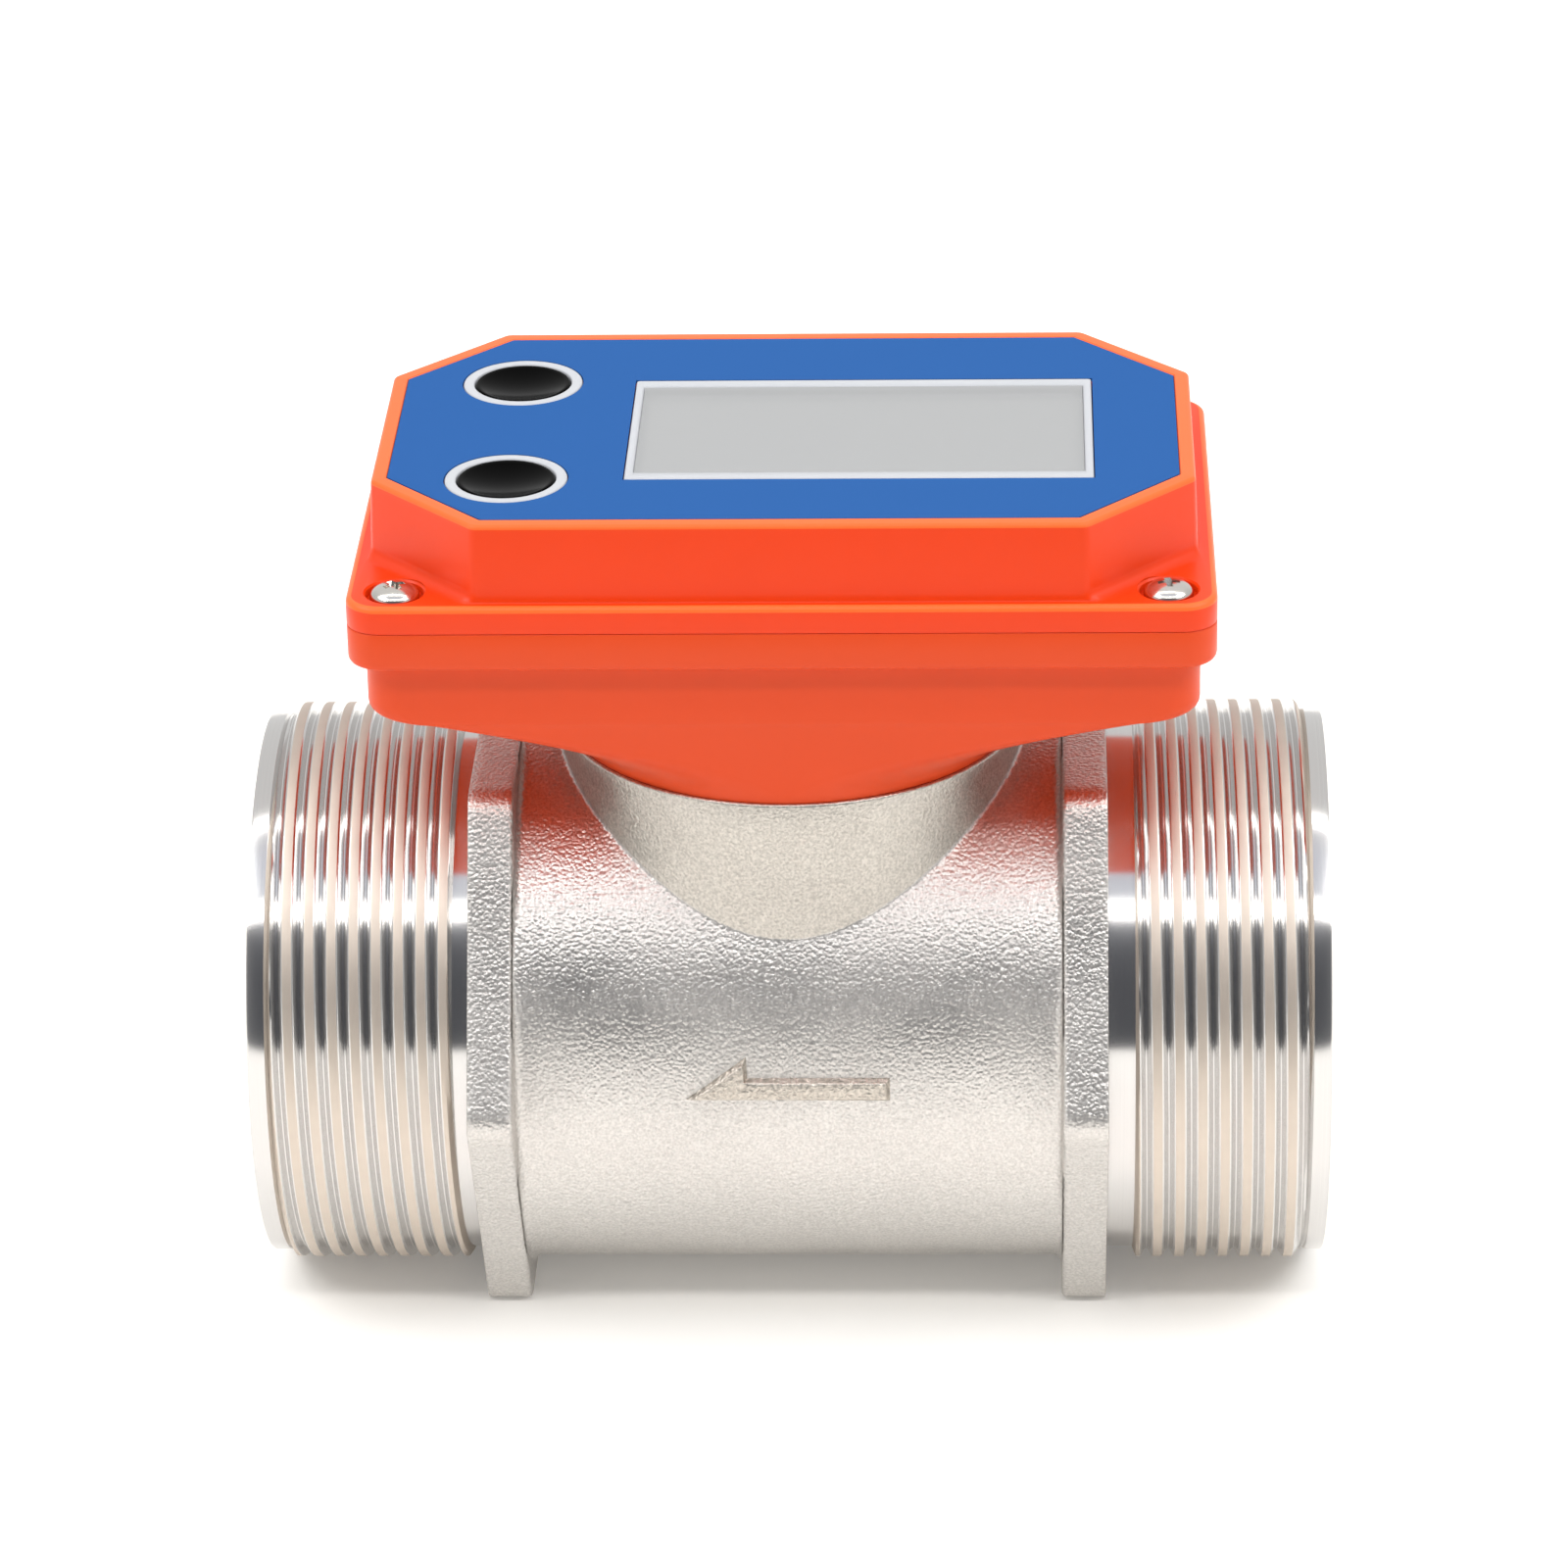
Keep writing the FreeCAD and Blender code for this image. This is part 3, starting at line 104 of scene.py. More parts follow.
def add_node(tree: Tree, kind: str, settings: dict[str | int, Any]) -> bpy.types.Node:
    """Adds one shader node.

    Args:
        tree: Node tree that takes the node.
        kind: Blender's type name of the node.
        settings: Values for the node's own properties, and values or sockets for its inputs, by
            name or number.

    Returns:
        The new node.
    """
    node = tree.nodes.new(kind)
    for key in sorted(settings, key=lambda name: not hasattr(node, str(name))):
        value = settings[key]
        if hasattr(node, str(key)):
            setattr(node, key, value)
        elif isinstance(value, bpy.types.NodeSocket):
            tree.links.new(value, node.inputs[key])
        else:
            node.inputs[key].default_value = value
    return node


def add_mix(tree: Tree, share: Any, one: Any, two: Any) -> Any:
    """Socket with two colours mixed, the second one by the given share."""
    settings = {"data_type": "RGBA", 0: share, 6: one, 7: two}
    return add_node(tree, "ShaderNodeMix", settings).outputs[2]


@dataclass
class Space:
    """Box of a CAD node, named by the node, in millimetres."""

    node: str

    def __post_init__(self) -> None:
        """Reads the box from the frame."""
        self.low, self.high = (Vector(corner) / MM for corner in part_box(self.node))
        self.middle = (self.low + self.high) / 2
        self.half = (self.high - self.low) / 2

    def outline(self, grow: float, radius: float) -> "Outline":
        """Rounded rectangle that stands out from the box by a length, as seen from above."""
        centre = (self.middle.x, self.middle.y)
        return Outline.rounded(self.half.x + grow, self.half.y + grow, radius, centre)


# ---------------------------------------------------------------- finishes
@dataclass
class Surface:
    """Material in the making: its node tree, its shader and the socket with the place."""

    tree: Tree
    shader: bpy.types.Node
    place: Any

    def add(self, kind: str, settings: dict[str | int, Any]) -> Any:
        """Adds a node and returns its first output."""
        return add_node(self.tree, kind, settings).outputs[0]

    def feed(self, name: str, source: Any) -> None:
        """Joins a socket to one of the shader's inputs."""
        self.tree.links.new(source, self.shader.inputs[name])

    def noise(self, size: float, detail: float = 2.0) -> Any:
        """Noise whose features have a given size in millimetres."""
        settings = {"Scale": 1 / (size * MM), "Detail": detail, "Roughness": 0.55}
        return self.add("ShaderNodeTexNoise", settings | {"Vector": self.place})


@dataclass(frozen=True)
class Finish:
    """A material and how its surface was made.

    Attributes:
        name: Name of the material.
        colour: Base colour, sRGB hex.
        roughness: Microfacet roughness.
        metallic: One for bare metal.
        ior: Index of refraction, left at the default for metals.
        mottle: Share by which the colour wanders.
        mottle_size: Size of the colour patches, mm.
        grain: Size of the surface grain, mm. One that is really too fine to show in a render
            is drawn as coarse as it needs to show.
        relief: Height of the surface grain, mm.
        gloss: Specular level, 0.5 for the plain Fresnel of the IOR.
        glow: Light that the surface gives off itself, for a lit table.
    """

    name: str
    colour: str
    roughness: float
    metallic: float = 0.0
    ior: float = 1.5
    mottle: float = 0.04
    mottle_size: float = 9.0
    grain: float = 0.3
    relief: float = 0.004
    gloss: float = 0.5
    glow: float = 0.0

    def material(self) -> bpy.types.Material:
        """Builds the material, or returns it where it is already built.

        Returns:
            The material.
        """
        made = bpy.data.materials.get(self.name)
        if made:
            return made
        made = bpy.data.materials.new(self.name)
        made.use_nodes = True
        tree = made.node_tree
        tree.nodes.clear()
        place = add_node(tree, "ShaderNodeTexCoord", {}).outputs["Object"]
        shader = add_node(tree, "ShaderNodeBsdfPrincipled", {
            "Roughness": self.roughness, "Metallic": self.metallic, "IOR": self.ior,
            "Specular IOR Level": self.gloss, "Emission Color": linear(self.colour),
            "Emission Strength": self.glow})
        self.dress(Surface(tree, shader, place))
        add_node(tree, "ShaderNodeOutputMaterial", {"Surface": shader.outputs[0]})
        return made

    def tint(self, surface: Surface, factor: Any) -> None:
        """Makes the base colour wander.

        Args:
            surface: Surface that takes the colour.
            factor: Socket with a value from zero to one.
        """
        base = linear(self.colour)[:3]
        dark = tuple(c * (1 - self.mottle) for c in base) + (1.0,)
        light = tuple(min(c * (1 + self.mottle), 1.0) for c in base) + (1.0,)
        surface.feed("Base Color", add_mix(surface.tree, factor, dark, light))

    def emboss(self, surface: Surface, height: Any) -> None:
        """Adds the relief, from a socket with its share of the full height."""
        settings = {"Distance": self.relief * MM, "Strength": 1.0, "Height": height}
        surface.feed("Normal", surface.add("ShaderNodeBump", settings))

    def dress(self, surface: Surface) -> None:
        """Adds the colour wander and the fine grain."""
        self.tint(surface, surface.noise(self.mottle_size))
        self.emboss(surface, surface.noise(self.grain))


@dataclass(frozen=True)
class CastSteel(Finish):
    """Stainless steel as cast in a ceramic shell and then blasted.

    Attributes:
        pits: Depth of the round pits between the pebbles, as a share of the relief.
    """

    pits: float = 0.5

    def dress(self, surface: Surface) -> None:
        """Adds the pebbled skin that the ceramic leaves, worn bright on its tops.

        Args:
            surface: Surface that takes the skin.
        """
        duller, brighter, pebble = 0.08, 0.05, self.grain * 1.5
        fine = surface.noise(self.grain, 2.5)
        cells = surface.add("ShaderNodeTexVoronoi", {
            "feature": "SMOOTH_F1", "Scale": 1 / (pebble * MM), "Smoothness": 0.25,
            "Vector": surface.place})
        self.emboss(surface, surface.add("ShaderNodeMath", {
            "operation": "MULTIPLY_ADD", 0: cells, 1: -self.pits, 2: fine}))
        self.tint(surface, surface.add("ShaderNodeMapRange", {
            "From Min": 0.35, "From Max": 0.65, "Value": fine}))
        surface.feed("Roughness", surface.add("ShaderNodeMapRange", {
            "From Min": 0.3, "From Max": 0.7, "To Min": self.roughness + duller,
            "To Max": self.roughness - brighter, "Value": surface.noise(self.mottle_size)}))


@dataclass(frozen=True)
class TurnedSteel(Finish):
    """Stainless steel turned on a lathe about the pipe axis."""

    def dress(self, surface: Surface) -> None:
        """Adds the rings that the tool's feed leaves round the axis.

        Args:
            surface: Surface that takes the rings.
        """
        along = surface.add("ShaderNodeSeparateXYZ", {"Vector": surface.place})
        feed = surface.add("ShaderNodeMath", {
            "operation": "MULTIPLY", 0: along, 1: 1 / (self.grain * MM)})
        rings = surface.add("ShaderNodeTexNoise", {
            "noise_dimensions": "1D", "Scale": 1.0, "Detail": 3.0, "W": feed})
        self.emboss(surface, rings)
        self.tint(surface, rings)
        surface.shader.inputs["Anisotropic"].default_value = 0.85
        surface.shader.inputs["Anisotropic Rotation"].default_value = 0.25
        tangent = {"direction_type": "RADIAL", "axis": "X"}
        surface.feed("Tangent", surface.add("ShaderNodeTangent", tangent))


@dataclass(frozen=True)
class ClearSheet(Finish):
    """Clear polycarbonate with polished faces.

    Attributes:
        cover: How much of what lies behind it the sheet hides.
    """

    cover: float = 0.2

    def dress(self, surface: Surface) -> None:
        """Adds the see-through share to the plain finish."""
        super().dress(surface)
        surface.shader.inputs["Alpha"].default_value = self.cover


# Ceramic-shell casting: a bright pebbled grey, each pebble with its own small highlight.
CAST = CastSteel("investment_cast_stainless", "CECBC7", 0.38, metallic=1.0, mottle=0.12,
                 mottle_size=14.0, grain=0.28, relief=0.06, pits=1.2)
# The boss was dressed on a belt after casting: finer and flatter than the barrel.
CAST_FINE = CastSteel("belt_dressed_cast_stainless", "C4BFB7", 0.40, metallic=1.0, mottle=0.17,
                      mottle_size=10.0, grain=0.3, relief=0.07, pits=0.4)
# The sign's face was never dressed: coarser and browner, with mould sand still in its pores.
CAST_SIGN = CastSteel("sand_rough_cast_stainless", "C6BFB5", 0.40, metallic=1.0, mottle=0.2,
                      mottle_size=5.0, grain=0.42, relief=0.2)
# Lathe-turned ends: mirror-like bands with fine rings.
TURNED = TurnedSteel("lathe_turned_stainless", "D2D0CE", 0.2, metallic=1.0, mottle=0.05,
                     grain=0.14, relief=0.0016)
# Thread crests scuffed by gauges and packing: dull, warm grey bands between bright valleys.
SCUFFED = Finish("scuffed_stainless_crest", "CFC4B8", 0.5, metallic=1.0, mottle=0.06,
                 mottle_size=3.0, grain=0.12, relief=0.006)
# Injection-moulded ABS, satin from a fine spark-eroded mould. The next finish is a painted
# highlight: a paler copy of the orange for the lid's rounded top edges and rims.
ORANGE_LID = Finish("moulded_abs_orange", "E83E0B", 0.34, mottle=0.02, grain=0.16, relief=0.003,
                    gloss=0.25)
# Painted highlight: paler orange where the lamps catch the lid's rounded edges.
ORANGE_EDGE = Finish("moulded_abs_orange_thin_edge", "FA6A2E", 0.34, mottle=0.02, grain=0.16,
                     relief=0.003, gloss=0.25)
ORANGE_BASE = Finish("moulded_abs_orange_base", "DC481A", 0.38, mottle=0.02, grain=0.18,
                     relief=0.003, gloss=0.25)
# Screen-printed polyester film, matt top.
LABEL_BLUE = Finish("printed_polyester_blue", "2D5B99", 0.8, mottle=0.01, grain=0.12, relief=0.001,
                    gloss=0.04)
# Light grey moulded trim.
TRIM = Finish("moulded_abs_light_grey", "BDBFC3", 0.4, mottle=0.02, grain=0.15, relief=0.002)
# Polished black push caps, dished for a fingertip: deep black, grey only along the near edge.
CAP_BLACK = Finish("polished_abs_black", "020202", 0.16, ior=1.1, mottle=0.0, grain=0.8,
                   relief=0.002)
# Polished clear window.
WINDOW = ClearSheet("polished_polycarbonate_clear", "BABBBB", 0.15, ior=1.3, mottle=0.0,
                    grain=0.9, relief=0.0006, cover=0.6)
# Reflective display, all segments off: flat light grey.
LCD = Finish("reflective_display_grey", "BBBBBA", 0.55, mottle=0.012, grain=0.1, relief=0.001)
# Rolled and pickled stainless wire: bright screws.
SCREW = Finish("cold_headed_stainless", "D8D4CE", 0.18, metallic=1.0, mottle=0.05, grain=0.2,
               relief=0.003)
# Blackened spring steel.
SPRING = Finish("blued_spring_steel", "6E6F73", 0.3, metallic=1.0, mottle=0.12, grain=0.25,
                relief=0.004)
GROUND = Finish("ground_steel_pin", "C4C4C6", 0.14, metallic=1.0, grain=0.1, relief=0.001)
NICKEL = Finish("nickel_plated_magnet", "CFCDC8", 0.2, metallic=1.0, grain=0.2, relief=0.001)
# Natural moulded acetal: off-white and slightly waxy.
ACETAL = Finish("moulded_acetal_natural", "E6E4DC", 0.42, ior=1.48, mottle=0.03, grain=0.35,
                relief=0.005)
ACETAL_BLACK = Finish("moulded_acetal_black", "232427", 0.4, ior=1.48, mottle=0.05, grain=0.3,
                      relief=0.005)
CERAMIC = Finish("ground_zirconia_white", "EFEBE2", 0.2, ior=2.1, grain=0.2, relief=0.001)
WASHER = Finish("moulded_ptfe_ivory", "DAD4C2", 0.5, ior=1.38, grain=0.3, relief=0.003)
RUBBER = Finish("moulded_nitrile_black", "1B1B1C", 0.62, ior=1.52, mottle=0.1, grain=0.3,
                relief=0.008)
NYLON = Finish("moulded_nylon_white", "E4E4E1", 0.45, ior=1.53, grain=0.3, relief=0.004)
RESIN = Finish("solder_masked_board_green", "1B6B3C", 0.3, mottle=0.15, mottle_size=3.0, grain=0.5,
               relief=0.01)
EPOXY = Finish("moulded_epoxy_black", "202022", 0.6, mottle=0.08, grain=0.08, relief=0.004)
WRAP = Finish("shrunk_pvc_wrap_grey", "4B4D52", 0.25, mottle=0.03, grain=0.6, relief=0.004)
# Backlit table of warm white acrylic.
PAPER = Finish("lit_acrylic_table_white", "FBF9F5", 0.9, mottle=0.004, mottle_size=60.0,
               grain=1.2, relief=0.01, gloss=0.1, glow=0.15)


# ---------------------------------------------------------------- mesh building
@dataclass
class Skin:
    """Points and faces of one piece, gathered in millimetres.

    Attributes:
        points: Corner positions.
        faces: Corner numbers of each face.
        slots: Finish number of each face.
    """

    points: list[Point] = field(default_factory=list)
    faces: list[tuple[int, ...]] = field(default_factory=list)
    slots: list[int] = field(default_factory=list)

    def ring(self, points: Sequence[Point]) -> list[int]:
        """Adds a row of points.

        Args:
            points: The row.

        Returns:
            The numbers of the new points.
        """
        start = len(self.points)
        self.points.extend(points)
        return list(range(start, start + len(points)))

    def face(self, corners: Sequence[int], slot: int = 0) -> None:
        """Adds one face, by its corner numbers and its finish number."""
        self.faces.append(tuple(corners))
        self.slots.append(slot)

    def bridge(self, one: Sequence[int], two: Sequence[int], slot: int = 0,
               closed: bool = True) -> None:
        """Joins two rows of equally many points by a band of faces.

        Args:
            one: First row.
            two: Second row.
            slot: Finish number of the band.
            closed: Whether the rows run round.
        """
        count = len(one)
        for i in range(count if closed else count - 1):
            j = (i + 1) % count
            self.face((one[i], one[j], two[j], two[i]), slot)

    def extend(self, previous: Sequence[int], rows: Sequence[Sequence[Point]],
               slot: int = 0) -> Sequence[int]:
        """Goes on from a closed row through further ones.

        Args:
            previous: Numbers of the row to start from.
            rows: The further rows, of the same length.
            slot: Finish number.

        Returns:
            The numbers of the last row.
        """
        for row in rows:
            now = self.ring(row)
            self.bridge(previous, now, slot)
            previous = now
        return previous

    def stack(self, rows: Sequence[Sequence[Point]], slot: int = 0, caps: bool = True,
              edges: Sequence[int] = ()) -> None:
        """Adds closed rows joined one after the other.

        Args:
            rows: The rows, all of one length.
            slot: Finish number.
            caps: Whether the first and last row are filled.
            edges: Numbers of the bands that take the next finish.
        """
        rings = [self.ring(row) for row in rows]
        for number, (low, high) in enumerate(zip(rings, rings[1:])):
            self.bridge(low, high, slot + int(number in edges))
        if caps:
            self.face(rings[0][::-1], slot)
            self.face(rings[-1], slot)

    def build(self, name: str, finishes: Sequence[Finish], sharp: float = CRISP) -> Piece:
        """Makes the object, with doubles merged and normals outward.

        Args:
            name: Name of the piece.
            finishes: Its finishes, in slot order.
            sharp: Edges that turn by more than this many degrees stay crisp.

        Returns:
            The new object.
        """
        mesh = bpy.data.meshes.new(name)
        mesh.from_pydata([tuple(c * MM for c in p) for p in self.points], [], self.faces)
        mesh.polygons.foreach_set("material_index", self.slots)
        work = bmesh.new()
        work.from_mesh(mesh)
        bmesh.ops.remove_doubles(work, verts=work.verts, dist=MERGE)
        bmesh.ops.dissolve_degenerate(work, edges=work.edges, dist=MERGE)
        bmesh.ops.recalc_face_normals(work, faces=work.faces)
        work.to_mesh(mesh)
        work.free()
        for finish in finishes:
            mesh.materials.append(finish.material())
        mesh.polygons.foreach_set("use_smooth", [True] * len(mesh.polygons))
        mesh.set_sharp_from_angle(angle=math.radians(sharp))
        made = bpy.data.objects.new(name, mesh)
        bpy.context.scene.collection.objects.link(made)
        return made


def arc(start: float, end: float, steps: int) -> list[float]:
    """Angles in radians from start to end degrees, both included."""
    return [math.radians(start + (end - start) * i / steps) for i in range(steps + 1)]


def rounding(radius: float, start: float, end: float, steps: int) -> list[Flat]:
    """Rounded edge, from side (0 degrees) to top (90), as distances from side and from top."""
    return [(radius * (1 - math.cos(a)), radius * (1 - math.sin(a))) for a in arc(start, end, steps)]


def circle(radius: float, z: float, centre: Flat, steps: int = 96) -> list[Point]:
    """Level round row of points at a height, about a centre."""
    turns = [TURN * i / steps for i in range(steps)]
    return [(centre[0] + radius * math.cos(t), centre[1] + radius * math.sin(t), z) for t in turns]


def cut_away(piece: Piece, tool: Piece) -> None:
    """Cuts one closed mesh out of another and removes the tool.

    Args:
        piece: Object that is cut.
        tool: Object whose space is taken away.
    """
    cut = piece.modifiers.new("cut", "BOOLEAN")
    cut.operation, cut.object, cut.solver = "DIFFERENCE", tool, "EXACT"
    graph = bpy.context.evaluated_depsgraph_get()
    mesh = bpy.data.meshes.new_from_object(piece.evaluated_get(graph))
    piece.modifiers.clear()
    old, piece.data = piece.data, mesh
    mesh.name = old.name
    bpy.data.meshes.remove(old)
    bpy.data.objects.remove(tool)
    mesh.set_sharp_from_angle(angle=math.radians(CRISP))


def normals(corners: Sequence[Vector], number: int) -> tuple[Vector, Vector]:
    """Outward normals of the two sides that meet at a corner of an anticlockwise outline.

    Args:
        corners: Corners of the outline.
        number: Number of the corner.

    Returns:
        Normal of the side that comes in and of the side that goes away.
    """
    into = (corners[number] - corners[number - 1]).normalized()
    away = (corners[(number + 1) % len(corners)] - corners[number]).normalized()
    return Vector((into.y, -into.x)), Vector((away.y, -away.x))


@dataclass(frozen=True)
class Outline:
    """Rectangle with cut corners, each of its eight corners rounded.

    A cut of (2 - sqrt 2) times the radius gives a plain rounded rectangle, and a circle where
    the radius is also the half size. Rows from different outlines match point for point.

    Attributes:
        half: Half sizes, mm.
        cut: Length taken off each side by a corner cut, mm.
        radius: Corner radius, mm.
        centre: Middle of the outline, mm.
        ARC_STEPS: Steps along each rounded corner.
        SIDE_STEPS: Steps along each full side.
        CUT_STEPS: Steps along each corner cut.
    """

    half: Flat
    cut: Flat
    radius: float
    centre: Flat = (0.0, 0.0)

    ARC_STEPS: ClassVar[int] = 8
    SIDE_STEPS: ClassVar[int] = 16
    CUT_STEPS: ClassVar[int] = 6

    @classmethod
    def rounded(cls, half_x: float, half_y: float, radius: float,
                centre: Flat = (0.0, 0.0)) -> "Outline":
        """Plain rounded rectangle of given half sizes and corner radius."""
        share = radius * (2 - math.sqrt(2))
        return cls((half_x, half_y), (share, share), radius, centre)

    def corners(self) -> list[Vector]:
        """The eight corners, anticlockwise from the right side's upper end."""
        (x, y), (cx, cy) = self.half, self.cut
        quarter = [(x, y - cy), (x - cx, y)]
        half = quarter + [(-px, py) for px, py in reversed(quarter)]
        return [Vector(c) for c in half + [(-px, -py) for px, py in half]]

    def points(self, grow: float, z: float) -> list[Point]:
        """Points of the outline moved outward and set at a height.

        Args:
            grow: Distance outward, mm, negative for inward.
            z: Height, mm.

        Returns:
            The points, always equally many.
        """
        corners = self.corners()
        radius = max(self.radius + grow, 1e-4)
        arcs: list[list[Vector]] = []
        for i, corner in enumerate(corners):
            n_in, n_out = normals(corners, i)
            bisector = (n_in + n_out) / (1 + n_in.dot(n_out))
            centre = corner - bisector * (radius - grow)
            a, b = math.atan2(n_in.y, n_in.x), math.atan2(n_out.y, n_out.x)
            sweep = (b - a) % TURN
            turns = [a + sweep * k / self.ARC_STEPS for k in range(self.ARC_STEPS + 1)]
            arcs.append([centre + Vector((math.cos(t), math.sin(t))) * radius for t in turns])
        found: list[Vector] = []
        for i, curve in enumerate(arcs):
            steps = self.CUT_STEPS if i % 2 == 0 else self.SIDE_STEPS
            start, end = curve[-1], arcs[(i + 1) % len(arcs)][0]
            found += curve[:-1] + [start.lerp(end, k / steps) for k in range(steps)]
        cx, cy = self.centre
        return [(p.x + cx, p.y + cy, z) for p in found]

    def mixed(self, other: "Outline", share: float) -> "Outline":
        """Outline part of the way to another.

        Args:
            other: The other outline.
            share: Zero for this one, one for the other.

        Returns:
            The outline between.
        """
        def mix(a: float, b: float) -> float:
            """Value part of the way from a to b."""
            return a + (b - a) * share

        half = (mix(self.half[0], other.half[0]), mix(self.half[1], other.half[1]))
        cut = (mix(self.cut[0], other.cut[0]), mix(self.cut[1], other.cut[1]))
        return Outline(half, cut, mix(self.radius, other.radius), self.centre)


def lathe_z(name: str, profile: Sequence[Flat], centre: Flat, finish: Finish,
            steps: int = 96) -> Piece:
    """Body of revolution about an upright axis, closed at both ends.

    Args:
        name: Name of the piece.
        profile: Radius and height of each row.
        centre: Place of the axis.
        finish: Its finish.
        steps: Points round.

    Returns:
        The new object.
    """
    skin = Skin()
    skin.stack([circle(r, z, centre, steps) for r, z in profile])
    return skin.build(name, [finish])


def ride(piece: Piece, body: Body, slot: str, *nodes: str) -> None:
    """Puts a finished piece on its body and hides the CAD nodes that it stands for.

    Args:
        piece: The piece.
        body: Body that it moves with.
        slot: Material slot of the record; not used.
        *nodes: CAD nodes that it replaces.
    """
    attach(piece, body.value)
    if nodes:
        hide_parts(*nodes)
    LOG.info("%s: %d faces on %s", piece.name, len(piece.data.polygons), body.value)


# ---------------------------------------------------------------- pipe body
@dataclass
class PipeBody:
    """Cast and turned pipe body: barrel, boss, spanner hexes, threaded ends and bore.

    Attributes:
        steps: Points round the pipe.
        pitch: Thread pitch.
        thread_depth: Crest to the turned relief at either end of the thread.
        thread_half: Half profile from the crest's middle to the root: place along the pipe and
            depth.
        run_out: Rise of the crest per length where the thread starts and ends.
        crest_until: Depth down to which the crests are scuffed.
        collar_fillet: Cast radius in the corner between barrel and hex.
        hex_thickness: Length of the hex along the pipe.
        end_length: Length from the hex's outer face to the pipe's mouth.
        pilot: Length of the plain pilot at the mouth.
        relief: Lengths of the turned relief beside the hex, at the inlet and at the outlet.
        bore: Radius of the bore at the mouths.
        meter_bore: Radius of the bore where the rotor turns.
        meter_half: Half the length of that bore.
        groove: Snap ring's groove: start, end and radius.
        pocket_radius: Radius of the round pocket in the boss.
        well_floor: Height of the well's floor above the table.
        boss_fillet: Cast radius round the boss's foot.
    """

    steps: int = 288
    pitch: float = 25.4 / 11
    thread_depth: float = 1.107
    thread_half: tuple[Flat, ...] = ((0.0, 0.0), (0.36, 0.0), (0.48, 0.02), (0.62, 0.10),
                                     (0.74, 0.30), (0.98, 0.72), (1.10, 0.82))
    run_out: float = 3.0
    crest_until: float = 0.05
    crest_radius: float = 29.807
    barrel_radius: float = 29.6
    collar_fillet: float = 1.1
    hex_corner: float = 3.0
    hex_thickness: float = 4.7
    end_length: float = 23.0
    pilot: float = 2.2
    pilot_radius: float = 29.05
    relief: tuple[float, float] = (2.8, 1.7)
    bore: float = 25.5
    meter_bore: float = 24.0
    meter_half: float = 13.0
    groove: tuple[float, float, float] = (31.0, 32.6, 26.5)
    boss_radius: float = 24.33
    pocket_radius: float = 20.0
    pocket_depth: float = 3.3
    well_radius: float = 5.8
    well_floor: float = 56.0
    boss_fillet: float = 0.45
    mouth_chamfer: float = 0.8

    def __post_init__(self) -> None:
        """Reads the body's outer sizes from the frame."""
        space = Space("flow_body")
        self.end, self.top = space.high.x, space.high.z
        self.axis = Space("rotor_shaft").middle.z
        self.apothem = self.axis - space.low.z
        self.hex_outer = self.end - self.end_length
        self.hex_inner = self.hex_outer - self.hex_thickness
        self.root_radius = self.crest_radius - self.thread_depth

    def turn(self, index: int) -> float:
        """Angle of a point round the pipe, from +Y towards +Z."""
        return TURN * index / self.steps

    def row(self, x: float, radius: Callable[[float], float] | float) -> list[Point]:
        """Closed row round the pipe, by its radius or by a function from the angle to it."""
        turns = [self.turn(j) for j in range(self.steps)]
        return [self.around(x, radius(t) if callable(radius) else radius, t) for t in turns]

    def around(self, x: float, radius: float, angle: float) -> Point:
        """Point at a place along the pipe, a radius and an angle from +Y towards +Z."""
        return (x, radius * math.cos(angle), self.axis + radius * math.sin(angle))

    def hexagon(self, inset: float) -> Callable[[float], float]:
        """Polar outline of the spanner hex, flat side down.

        Args:
            inset: Distance inside the hex's own outline.

        Returns:
            A function from the angle to the radius.
        """
        half_side = math.pi / 6
        flat = self.apothem - inset
        corner = max(self.hex_corner - inset, 0.2)
        centre = (flat - corner) / math.cos(half_side)
        tangent = math.atan((flat - corner) * math.tan(half_side) / flat)

        def radius(angle: float) -> float:
            """Radius at an angle round the pipe, on a flat or on a rounded corner.

            Args:
                angle: Angle round the pipe.

            Returns:
                The radius.
            """
            off = (angle - math.pi / 2 + half_side) % (2 * half_side) - half_side
            if abs(off) <= tangent:
                return flat / math.cos(off)
            beta = half_side - abs(off)
            return centre * math.cos(beta) + math.sqrt(corner ** 2 - (centre * math.sin(beta)) ** 2)

        return radius

    def thread(self, skin: Skin, low: float, high: float) -> None:
        """Right-hand thread between two turned reliefs, as lines that follow the helix.

        Args:
            skin: Skin that takes the faces.
            low: Where the thread starts along X.
            high: Where it ends.
        """
        profile = [(-u, d) for u, d in reversed(self.thread_half[1:])] + list(self.thread_half)
        per_pitch = len(profile)
        pitches = math.ceil((high - low) / self.pitch) + 2
        count = per_pitch * pitches
        rows: list[list[int]] = []
        for k in range(count):
            offset, depth = profile[k % per_pitch]
            base = low - self.pitch * 1.5 + self.pitch * (k // per_pitch) + offset
            points = []
            for j in range(self.steps):
                x = min(max(base + self.pitch * j / self.steps, low), high)
                limit = self.root_radius + self.run_out * min(x - low, high - x)
                points.append(self.around(x, min(self.crest_radius - depth, limit), self.turn(j)))
            rows.append(skin.ring(points))
        last = self.steps - 1
        for k in range(count - 1):
            deepest = max(profile[k % per_pitch][1], profile[(k + 1) % per_pitch][1])
            slot = PipeSlot.CREST if deepest < self.crest_until else PipeSlot.TURNED
            skin.bridge(rows[k], rows[k + 1], slot, closed=False)
            if k + per_pitch + 1 < count:
                skin.face((rows[k][last], rows[k + per_pitch][0], rows[k + per_pitch + 1][0],
                           rows[k + 1][last]), slot)

